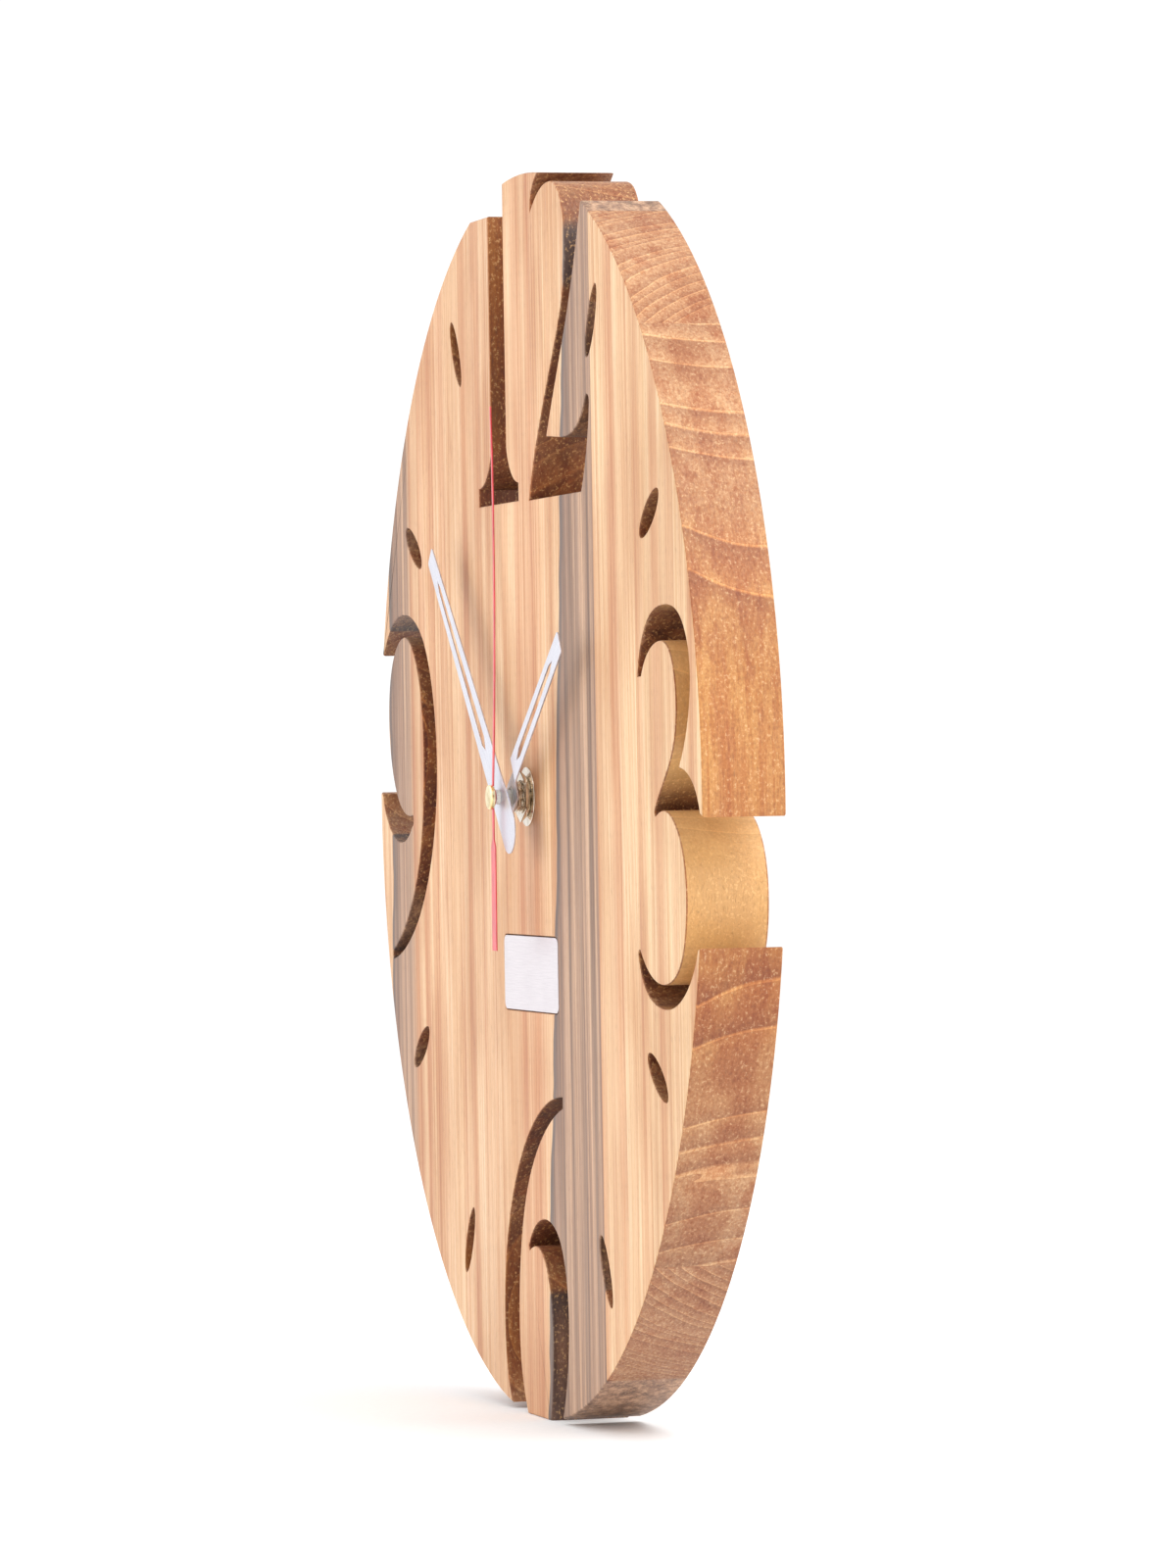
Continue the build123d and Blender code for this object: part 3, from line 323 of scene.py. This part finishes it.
def heartwood(look, plank, colour):
    """A dark band with a greyer margin, and a near-black line along its wavy border."""
    low, high, lean = plank["heart"]
    across = look.millimetres("X")
    wave = look.noise((900, 900, 46), 50.0, detail=3, rough=0.55)
    place = look.maths("MULTIPLY_ADD", look.maths("SUBTRACT", wave, 0.5), HEART_WAVE, across)
    place = look.maths("MULTIPLY_ADD", look.millimetres("Z"), -lean, place)
    inside = look.between(place, low - 0.6, low + 0.6)
    margin = look.between(place, low + 1.0, low + HEART_MARGIN, 1.0, 0.0)
    line = look.between(place, low + 1.4, low + 4.0, 1.0, 0.0)
    ending = look.between(across, high - 3, high + 3, 1.0, 0.0)
    inside = look.maths("MULTIPLY", inside, ending)
    heart = look.ramp(
        look.noise((2.4, 2.4, 190), 53.0, detail=4, rough=0.7),
        (0.34, srgb(104, 78, 62)),
        (0.48, srgb(146, 112, 90)),
        (0.62, srgb(190, 152, 122)),
    )
    grey = look.mix(1.0, heart, srgb(206, 198, 202), "MULTIPLY")
    heart = look.mix(look.maths("MULTIPLY", margin, inside), heart, grey)
    line = look.maths("MULTIPLY", line, inside)
    heart = look.mix(look.maths("MULTIPLY", line, 0.85), heart, srgb(72, 64, 66))
    return look.mix(look.maths("MULTIPLY", inside, 0.92), colour, heart)


def open_grain(look, pores, speck, colour):
    """Dark pores everywhere, dark specks on side grain, and painted glints there as pale gold specks."""
    colour = look.mix(look.maths("MULTIPLY", pores, 0.35), colour, srgb(120, 78, 50))
    fleck = look.ramp(speck, (0.36, srgb(206, 186, 168)), (0.5, WHITE))
    colour = look.mix(facing_out(look, 0.55, 0.0), colour, fleck, "MULTIPLY")
    # Painted highlight: pale gold glints on side grain.
    painted_glint = look.maths("MULTIPLY", look.between(speck, 0.56, 0.66), facing_out(look, 0.25, 0.0))
    return look.mix(painted_glint, colour, srgb(238, 206, 158))


def router_wall(look, plank, seed, speck, colour):
    """Painted shade darkening the walls inside the numerals, less towards the rim, painted light on the walls near
    the right-hand rim, and painted glints on torn fibres.
    """
    # Painted shade: a mottled darkening of the cut walls, full deep inside the numerals and weaker towards the
    # open rim.
    painted_wall_shade = look.ramp(
        look.noise((7, 7, 14), seed + 13, detail=3, rough=0.6),
        (0.34, srgb(150, 120, 92)),
        (0.66, srgb(214, 188, 156)),
    )
    flat = look.node("VectorMath", operation="MULTIPLY_ADD")
    look.put(flat.inputs[0], look.here)
    flat.inputs[1].default_value = (1, 0, 1)
    flat.inputs[2].default_value = (0, 0, -SHAFT.z)
    length = look.node("VectorMath", operation="LENGTH")
    look.put(length.inputs[0], flat.outputs[0])
    radius = look.maths("MULTIPLY", length.outputs["Value"], 1 / MM)
    shade_share = look.between(radius, *SHADE_FADE, plank["burnt"], 0.4 * plank["burnt"])
    colour = look.mix(shade_share, colour, painted_wall_shade, "MULTIPLY")
    # Painted light: the cut walls near the right-hand rim are lightened towards pale gold.
    pale = look.between(look.millimetres("X"), *LIT_WALLS_FROM, 0.0, 0.42)
    colour = look.mix(pale, colour, srgb(246, 196, 122))
    # Painted highlight: pale glints on the torn fibres of the cut walls.
    painted_sparkle = look.between(speck, 0.55, 0.66, 0.0, 0.5)
    return look.mix(painted_sparkle, colour, srgb(214, 164, 104))


def wood(node, cut=False):
    """Oiled solid wood. The cut variant is the rougher wall that a router leaves, darkened by painted shade."""
    plank = PLANKS[node]
    seed = 41.0 * (STAVES.index(node) + 1)
    look = Recipe(node.replace("dial_stave", "wood") + ("_cut" if cut else ""))
    fibres = look.noise((0.55, 0.55, 60), seed + 4, detail=3, rough=0.6)
    pores = look.between(look.noise((0.16, 0.16, 2.6), seed + 7, detail=1), 0.63, 0.70)
    speck = look.noise((0.75, 0.75, 0.9), seed + 8, detail=3, rough=0.7)

    colour = ring_tones(look, plank, seed)
    colour = figure(look, plank, seed, fibres, colour)
    if plank["heart"]:
        colour = heartwood(look, plank, colour)
    colour = open_grain(look, pores, speck, colour)
    if cut:
        colour = router_wall(look, plank, seed, speck, colour)

    height = look.maths("MULTIPLY_ADD", fibres, 0.6, look.maths("MULTIPLY", pores, -0.8))
    height = look.maths("MULTIPLY_ADD", speck, 0.9 if cut else 0.25, height)
    look.bump(height, 0.09 if cut else 0.035)
    rough = look.between(fibres, 0.3, 0.7, 0.66, 0.48)
    look.set(Base_Color=colour, Roughness=rough, Specular_IOR_Level=0.5)
    return look.set(Coat_Weight=0.08, Coat_Roughness=0.4)


def brushed(name, colour, dark, rough, turn=0.0):
    """Metal with fine lines along one direction, turned about Y from straight up."""
    look = Recipe(name)
    strokes = look.noise((0.05, 0.6, 9.0), 3.0, detail=4, rough=0.7, turn=(0.0, turn, 0.0))
    cloud = look.noise((9, 9, 9), 8.0, detail=2)
    base = look.mix(look.between(strokes, 0.3, 0.7), dark, colour)
    base = look.mix(look.between(cloud, 0.35, 0.75, 0.0, 0.3), base, dark)
    look.bump(strokes, 0.006)
    dull = look.between(strokes, 0.3, 0.7, rough + 0.1, rough - 0.06)
    return look.set(Base_Color=base, Roughness=dull, Metallic=1.0)


def plated(name, colour, dark, rough):
    """Bright plated or polished metal, with faint handling marks and a slight orange peel."""
    look = Recipe(name)
    marks = look.noise((0.5, 0.5, 0.5), 2.0, detail=5, rough=0.65)
    smears = look.noise((3.5, 3.5, 3.5), 6.0, detail=3)
    base = look.mix(look.between(smears, 0.3, 0.75), colour, dark)
    dull = look.between(marks, 0.35, 0.7, rough, rough + 0.14)
    look.bump(look.noise((0.25, 0.25, 0.25), 1.0, detail=2), 0.003)
    return look.set(Base_Color=base, Roughness=dull, Metallic=1.0)


def lacquer(name, colour, dark):
    """Thin sprayed lacquer, with slow changes of tone and fine dust under its gloss."""
    look = Recipe(name)
    flow = look.noise((1.6, 1.6, 5), 4.0, detail=3)
    dust = look.noise((0.12, 0.12, 0.12), 9.0, detail=1)
    base = look.mix(look.between(flow, 0.3, 0.75), colour, dark)
    look.bump(look.maths("MULTIPLY_ADD", dust, 0.4, flow), 0.004)
    look.set(Base_Color=base, Roughness=look.between(dust, 0.35, 0.7, 0.3, 0.44))
    return look.set(Coat_Weight=0.4, Coat_Roughness=0.2)


def moulded(name, colour, scuffed, rough=0.5, texture=0.16, depth=0.012, clear=0.0):
    """Injection-moulded plastic: a fine spark-eroded texture, slow tone changes, faint scuffs."""
    look = Recipe(name)
    eroded = look.noise((texture, texture, texture), 5.0, detail=3, rough=0.6)
    tone = look.noise((14, 14, 14), 2.0, detail=2)
    scuffs = look.noise((0.3, 2.5, 6.0), 12.0, detail=4, rough=0.75)
    base = look.mix(look.between(tone, 0.3, 0.75, 0.0, 0.5), colour, scuffed)
    base = look.mix(look.between(scuffs, 0.62, 0.75, 0.0, 0.35), base, scuffed)
    look.bump(eroded, depth)
    look.set(Base_Color=base, Roughness=look.between(eroded, 0.3, 0.7, rough + 0.08, rough - 0.06))
    return look.set(Subsurface_Weight=clear, Subsurface_Radius=(0.002, 0.0015, 0.001))


def foam(name):
    """Open-celled foam tape, with painted shade darkening the middle of each pit."""
    look = Recipe(name)
    pits = look.cells((0.35, 0.35, 0.35))
    # Painted shade: each pit darker towards its middle.
    base = look.ramp(pits, (0.1, srgb(150, 148, 140)), (0.6, srgb(226, 224, 214)))
    look.bump(pits, 0.08)
    return look.set(Base_Color=base, Roughness=look.between(pits, 0.1, 0.6, 0.98, 0.86))


def rubber(name):
    """Matt black rubber with a little pale dust on it."""
    look = Recipe(name)
    dust = look.noise((0.8, 0.8, 0.8), 4.0, detail=4, rough=0.7)
    base = look.ramp(dust, (0.4, srgb(24, 24, 25)), (0.75, srgb(62, 61, 60)))
    look.bump(dust, 0.02)
    return look.set(Base_Color=base, Roughness=look.between(dust, 0.35, 0.75, 0.72, 0.9))


def wound_wire(name):
    """Enamelled copper wire laid in close turns round the coil's upright core, with painted shade in the grooves
    between turns.
    """
    look = Recipe(name)
    wave = look.node("TexWave", wave_type="BANDS", bands_direction="Z")
    look.put(wave.inputs["Vector"], look.stretched((1.0, 1.0, 0.32)))
    wave.inputs["Scale"].default_value = 0.5
    wave.inputs["Distortion"].default_value = 0.35
    wave.inputs["Detail"].default_value = 1.0
    turns = wave.outputs["Fac"]
    # Painted shade: darker in the grooves between the turns.
    base = look.ramp(turns, (0.1, srgb(96, 38, 16)), (0.7, srgb(206, 112, 62)))
    look.bump(turns, 0.08)
    look.set(Base_Color=base, Roughness=look.between(turns, 0.0, 1.0, 0.42, 0.26))
    return look.set(Metallic=0.85, Coat_Weight=0.5, Coat_Roughness=0.12)


def solder_mask(name):
    """Green circuit board with copper tracks showing faintly under the mask."""
    look = Recipe(name)
    tracks = look.node("TexBrick", offset=0.37, squash=0.6, squash_frequency=3)
    look.put(tracks.inputs["Vector"], look.stretched((1.0, 1.0, 1.0), 3.0, (radians(90), 0, 0)))
    tracks.inputs["Scale"].default_value = 0.5
    tracks.inputs["Mortar Size"].default_value = 0.07
    tracks.inputs["Mortar Smooth"].default_value = 0.4
    lines = tracks.outputs["Fac"]
    weave = look.noise((0.4, 0.4, 0.4), 3.0, detail=3)
    base = look.mix(lines, srgb(22, 92, 48), srgb(62, 142, 66))
    base = look.mix(look.between(weave, 0.35, 0.75, 0.0, 0.3), base, srgb(14, 60, 34))
    look.bump(look.maths("MULTIPLY_ADD", weave, 0.2, lines), 0.03)
    look.set(Base_Color=base, Roughness=look.between(weave, 0.3, 0.7, 0.26, 0.4))
    return look.set(Coat_Weight=0.4, Coat_Roughness=0.15)


def sleeve(name):
    """A battery's shrink sleeve: two plain bands of colour between its bare metal ends."""
    look = Recipe(name)
    low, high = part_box("battery")
    along = look.between(look.axis(look.here, "X"), low.x, high.x)
    scratches = look.noise((6, 0.2, 0.2), 5.0, detail=4, rough=0.7)
    from_middle = look.maths("ABSOLUTE", look.maths("SUBTRACT", along, 0.488))
    bare = look.between(from_middle, 0.4655, 0.4665)
    bands = look.ramp(
        along,
        (0.0, srgb(38, 78, 118)),
        (0.70, srgb(38, 78, 118)),
        (0.705, srgb(214, 216, 214)),
        (0.73, srgb(214, 216, 214)),
        (0.735, srgb(70, 74, 80)),
    )
    base = look.mix(look.between(scratches, 0.58, 0.75, 0.0, 0.4), bands, srgb(120, 132, 142))
    base = look.mix(bare, base, srgb(196, 194, 188))
    look.bump(scratches, 0.008)
    look.set(Base_Color=base, Metallic=look.maths("MULTIPLY_ADD", bare, 0.75, 0.25))
    return look.set(Roughness=look.between(scratches, 0.3, 0.75, 0.22, 0.42))


# ---------------------------------------------------------------- building pieces
MERGE_WITHIN = 0.001 * MM
ROUNDING_STEPS = 2
FLAT_WEIGHT = 80  # how strongly a large face keeps the normals round it
STAVE_ROUNDING = 0.45 * MM
ON_PLANE = 0.01 * MM
NEAR_PLANE = 0.02 * MM
RIM_BAND = 0.55 * MM  # the rim and its rounded edge lie within this of the radius
FACE_BAND = 1.0 * MM  # the faces and their rounded edges lie within this of the surface


def new_piece(name, mesh, node, materials):
    """A finished piece that stands for a CAD node and moves with that node's body."""
    piece = bpy.data.objects.new(name, mesh)
    bpy.context.scene.collection.objects.link(piece)
    for material in materials:
        mesh.materials.append(material)
    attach(piece, BODIES[node])
    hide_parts(node)
    return piece


def smooth(mesh, angle=38):
    """Smooth shading, with edges sharper than angle degrees kept crisp."""
    mesh.shade_smooth()
    mesh.set_sharp_from_angle(angle=radians(angle))


def weigh_normals(piece):
    """Keeps large flats flat where they meet a rounded edge."""
    modifier = piece.modifiers.new("flat_faces", "WEIGHTED_NORMAL")
    modifier.keep_sharp = True
    modifier.weight = FLAT_WEIGHT


def bare_mesh(node):
    """The CAD node's shape with its flat faces merged, ready for mesh work."""
    work = bmesh.new()
    work.from_mesh(frame["nodes"][node].data)
    bmesh.ops.remove_doubles(work, verts=work.verts, dist=MERGE_WITHIN)
    bmesh.ops.dissolve_limit(
        work,
        angle_limit=radians(0.4),
        verts=work.verts,
        edges=work.edges,
        use_dissolve_boundaries=False,
    )
    return work


def to_mesh(work, name):
    """A mesh with only the shape of the work in progress, free of imported normals."""
    work.verts.index_update()
    mesh = bpy.data.meshes.new(name)
    faces = [[vertex.index for vertex in face.verts] for face in work.faces]
    mesh.from_pydata([vertex.co[:] for vertex in work.verts], [], faces)
    mesh.validate()
    work.free()
    return mesh


def is_sharp(edge):
    return edge.is_manifold and edge.is_convex and edge.calc_face_angle() > radians(35)


def round_edges(work, width, chosen=is_sharp):
    """Rounds the edges that chosen says, by default all the sharp outer ones."""
    bmesh.ops.bevel(
        work,
        geom=[edge for edge in work.edges if chosen(edge)],
        offset=width,
        segments=ROUNDING_STEPS,
        profile=0.5,
        affect="EDGES",
        clamp_overlap=False,
    )
    bmesh.ops.remove_doubles(work, verts=work.verts, dist=MERGE_WITHIN)


def rounded_copy(node, material, width):
    """A finished piece with the CAD node's outline and its sharp edges rounded."""
    work = bare_mesh(node)
    round_edges(work, width)
    mesh = to_mesh(work, node + "_mesh")
    smooth(mesh)
    piece = new_piece(node + "_finished", mesh, node, [material])
    weigh_normals(piece)
    return piece


def from_glue(x):
    """Distance along X to the nearest glue line between two staves."""
    return min(abs(x - plane) for plane in GLUE_PLANES)


def is_outline(edge):
    """True for sharp edges of the board's face and back, apart from those along a glue line."""
    if not is_sharp(edge):
        return False
    near, far = [vertex.co for vertex in edge.verts]
    middle = (near + far) / 2
    flat = any(abs(face.normal.y) > 0.99 for face in edge.link_faces)
    on_face = min(abs(middle.y - FACE_Y), abs(middle.y - BACK_Y)) < ON_PLANE
    glued = abs(near.x - far.x) < ON_PLANE and from_glue(middle.x) < ON_PLANE
    return flat and on_face and not glued


def is_cut_wall(face):
    """True for the walls of the numerals and marks, and not for the rim or a glue line."""
    middle = face.calc_center_median()
    depth = min(middle.y - FACE_Y, BACK_Y - middle.y)
    radius = Vector((middle.x, middle.z - SHAFT.z)).length
    glued = abs(face.normal.x) > 0.999 and from_glue(middle.x) < NEAR_PLANE
    return depth > FACE_BAND and radius < RIM - RIM_BAND and not glued


def make_stave(node):
    """One of the board's planks, with its outlines rounded and its cut walls in the cut variant, darkened by
    painted shade.
    """
    work = bare_mesh(node)
    round_edges(work, STAVE_ROUNDING, is_outline)
    work.normal_update()
    walls = [is_cut_wall(face) for face in work.faces]
    mesh = to_mesh(work, node + "_mesh")
    if len(mesh.polygons) == len(walls):
        for polygon, wall in zip(mesh.polygons, walls):
            polygon.material_index = int(wall)
    smooth(mesh, 32)
    piece = new_piece(node + "_finished", mesh, node, [wood(node), wood(node, cut=True)])
    weigh_normals(piece)


def ring_strip(work, rings):
    """Joins rings of vertices, one after another, into a closed band of faces."""
    for near, far in zip(rings, rings[1:] + rings[:1]):
        for index in range(len(near)):
            following = (index + 1) % len(near)
            work.faces.new((near[index], near[following], far[following], far[index]))


def make_threaded_stem(material):
    """The movement's stem with a real single-start thread, its bore and its flange."""
    low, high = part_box("threaded_stem")
    outer = 4.0 * MM
    bore = 2.57 * MM
    pitch = 0.75 * MM
    thread_depth = 0.36 * MM
    run_in = 0.5 * MM  # the stretch over which the thread grows to its full depth
    chamfer = 0.2 * MM
    flange = (high.x - low.x) / 2
    flange_y = high.y - 0.5 * MM
    around = 64
    step = pitch / 10
    stations = int((flange_y - low.y) / step)
    work = bmesh.new()

    def ring(y, radius_at):
        made = []
        for index in range(around):
            angle = 2 * pi * index / around
            radius = radius_at(angle, y)
            made.append(work.verts.new((radius * cos(angle), y, SHAFT.z + radius * sin(angle))))
        return made

    def thread(angle, y):
        turn = ((y - low.y) / pitch - angle / (2 * pi)) % 1.0
        ridge = min(1.0, max(0.0, 1.25 - abs(turn - 0.5) * 4 + 0.1))
        start = min(1.0, (y - low.y) / run_in)
        return outer - thread_depth * (1 - ridge * start)

    def plain(size):
        return lambda angle, y: size

    rings = [ring(low.y + step * index, thread) for index in range(stations + 1)]
    rings.append(ring(flange_y, plain(outer - thread_depth)))
    rings.append(ring(flange_y, plain(flange)))
    rings.append(ring(high.y, plain(flange)))
    rings.append(ring(high.y, plain(bore)))
    rings.append(ring(low.y + chamfer, plain(bore)))
    rings.append(ring(low.y, plain(bore + chamfer)))
    ring_strip(work, rings)
    bmesh.ops.recalc_face_normals(work, faces=work.faces)
    mesh = to_mesh(work, "threaded_stem_mesh")
    smooth(mesh, 40)
    new_piece("threaded_stem_finished", mesh, "threaded_stem", [material])


# ---------------------------------------------------------------- the clock
for stave in STAVES:
    make_stave(stave)


def direction(node):
    """The angle of a hand about the shaft, from straight up towards +X."""
    points = [vertex.co - SHAFT for vertex in frame["nodes"][node].data.vertices]
    tip = max(points, key=lambda point: point.x ** 2 + point.z ** 2)
    return atan2(tip.x, tip.z)


ALUMINIUM = (srgb(232, 232, 240), srgb(196, 196, 206))
hour_metal = brushed("hour_hand_metal", *ALUMINIUM, 0.34, direction("hour_hand"))
minute_metal = brushed("minute_hand_metal", *ALUMINIUM, 0.34, direction("minute_hand"))
plate_metal = brushed("plate_metal", srgb(226, 220, 223), srgb(204, 198, 202), 0.4, radians(90))
red = lacquer("red_lacquer", srgb(220, 60, 72), srgb(186, 36, 48))
nickel = plated("nickel", srgb(230, 220, 206), srgb(196, 182, 164), 0.1)
brass = plated("brass", srgb(250, 236, 190), srgb(220, 196, 136), 0.1)
plated_stem = plated("plated_stem", srgb(222, 212, 198), srgb(186, 170, 148), 0.16)
black = moulded("black_plastic", srgb(26, 26, 27), srgb(52, 52, 54), 0.48)
acetal = moulded("white_acetal", srgb(232, 230, 222), srgb(206, 203, 192), 0.4, 0.25, 0.006, 0.15)
bobbin_plastic = moulded("bobbin_plastic", srgb(214, 206, 184), srgb(188, 180, 158), 0.45, 0.2, 0.008)
magnet = plated("magnet", srgb(96, 96, 100), srgb(60, 60, 64), 0.34)
silicon_iron = brushed("stator_iron", srgb(168, 166, 160), srgb(116, 114, 110), 0.4)
epoxy = moulded("epoxy", srgb(18, 18, 19), srgb(34, 34, 36), 0.28, 0.6, 0.02)
copper = wound_wire("copper_wire")
board = solder_mask("circuit_board_mask")
sleeve_film = sleeve("battery_sleeve")
foam_tape = foam("foam_tape")
rubber_sheet = rubber("rubber")

# Each rounded piece with its material and the width of its rounding in millimetres.
ROUNDED = {
    "hour_hand": (hour_metal, 0.08),
    "minute_hand": (minute_metal, 0.08),
    "second_hand": (red, 0.06),
    "second_hand_cap": (brass, 0.1),
    "name_plate": (plate_metal, 0.15),
    "front_washer": (nickel, 0.1),
    "hex_nut": (nickel, 0.12),
    "movement_case": (black, 0.3),
    "movement_cover": (black, 0.15),
    "setting_knob": (black, 0.15),
    "cover_screws": (nickel, 0.08),
}
for node, (material, rounding) in ROUNDED.items():
    rounded_copy(node, material, rounding * MM)
make_threaded_stem(plated_stem)

# The CAD's own meshes that are kept as they are, each with its material.
CARRIED = {
    "plate_adhesive": foam_tape,
    "rubber_gasket": rubber_sheet,
    "train_bridge": acetal,
    "hour_wheel": acetal,
    "cannon_pinion": acetal,
    "centre_wheel": acetal,
    "third_wheel": acetal,
    "second_wheel": acetal,
    "intermediate_wheel": acetal,
    "rotor_pinion": acetal,
    "minute_work_wheel": acetal,
    "rotor_magnet": magnet,
    "arbor_pins": nickel,
    "stator": silicon_iron,
    "coil_core": silicon_iron,
    "coil_bobbin": bobbin_plastic,
    "coil_winding": copper,
    "circuit_board": board,
    "driver_chip": epoxy,
    "quartz_crystal": nickel,
    "battery": sleeve_film,
    "contact_positive": nickel,
    "contact_negative": nickel,
}
for node, material in CARRIED.items():
    kept = frame["nodes"][node].data
    kept.materials.clear()
    kept.materials.append(material)

# ---------------------------------------------------------------- floor, light and camera
FLOOR_HALF = 6.0
CORNERS = ((-1, -1), (1, -1), (1, 1), (-1, 1))
floor_mesh = bpy.data.meshes.new("floor")
floor_mesh.from_pydata([(x, y, 0) for x, y in CORNERS], [], [(0, 1, 2, 3)])
floor_mesh.transform(Matrix.Scale(FLOOR_HALF, 4))
floor = bpy.data.objects.new("floor", floor_mesh)
bpy.context.scene.collection.objects.link(floor)
paper = Recipe("paper")
tooth = paper.noise((2.0, 2.0, 2.0), detail=3)
paper_white = paper.ramp(tooth, (0.3, srgb(246, 246, 247)), (0.7, srgb(250, 250, 250)))
floor_mesh.materials.append(paper.set(Base_Color=paper_white, Roughness=0.8))

STUDIO_BRIGHTNESS = 1.08
world = bpy.data.worlds.new("studio")
bpy.context.scene.world = world
world.use_nodes = True
background = world.node_tree.nodes["Background"]
background.inputs["Color"].default_value = WHITE
background.inputs["Strength"].default_value = STUDIO_BRIGHTNESS


def soft_light(name, place, width, height, power):
    """A rectangular light aimed at the clock's shaft: metres and watts."""
    data = bpy.data.lights.new(name, "AREA")
    data.shape = "RECTANGLE"
    data.size = width
    data.size_y = height
    data.energy = power
    lamp = bpy.data.objects.new(name, data)
    bpy.context.scene.collection.objects.link(lamp)
    lamp.location = place
    lamp.rotation_euler = (SHAFT - Vector(place)).to_track_quat("-Z", "Y").to_euler()


soft_light("key", (-0.7, -1.8, 0.9), 2.8, 2.2, 20)
soft_light("top", (1.0, 0.5, 1.3), 1.2, 1.2, 17)
soft_light("right", (1.5, 0.8, 0.2), 0.6, 0.8, 8)

# The camera was solved from the photo, against the round face and its hour marks.
LENS = 162.17
CAMERA_PLACE = (1.64665, -0.44511, 0.15292)
camera_data = bpy.data.cameras.new("camera")
camera = bpy.data.objects.new("camera", camera_data)
bpy.context.scene.collection.objects.link(camera)
camera_data.lens = LENS
camera_data.sensor_width = 36.0
camera_data.clip_end = 30.0
camera_right = Vector((0.26383313, 0.96442581, -0.01658116))
camera_up = Vector((0.00402654, 0.01608889, 0.99986246))
camera_back = camera_right.cross(camera_up)
camera_turn = Matrix((camera_right, camera_up, camera_back)).transposed().to_4x4()
camera.matrix_world = Matrix.Translation(CAMERA_PLACE) @ camera_turn
bpy.context.scene.camera = camera
bpy.context.scene.view_settings.view_transform = "Standard"
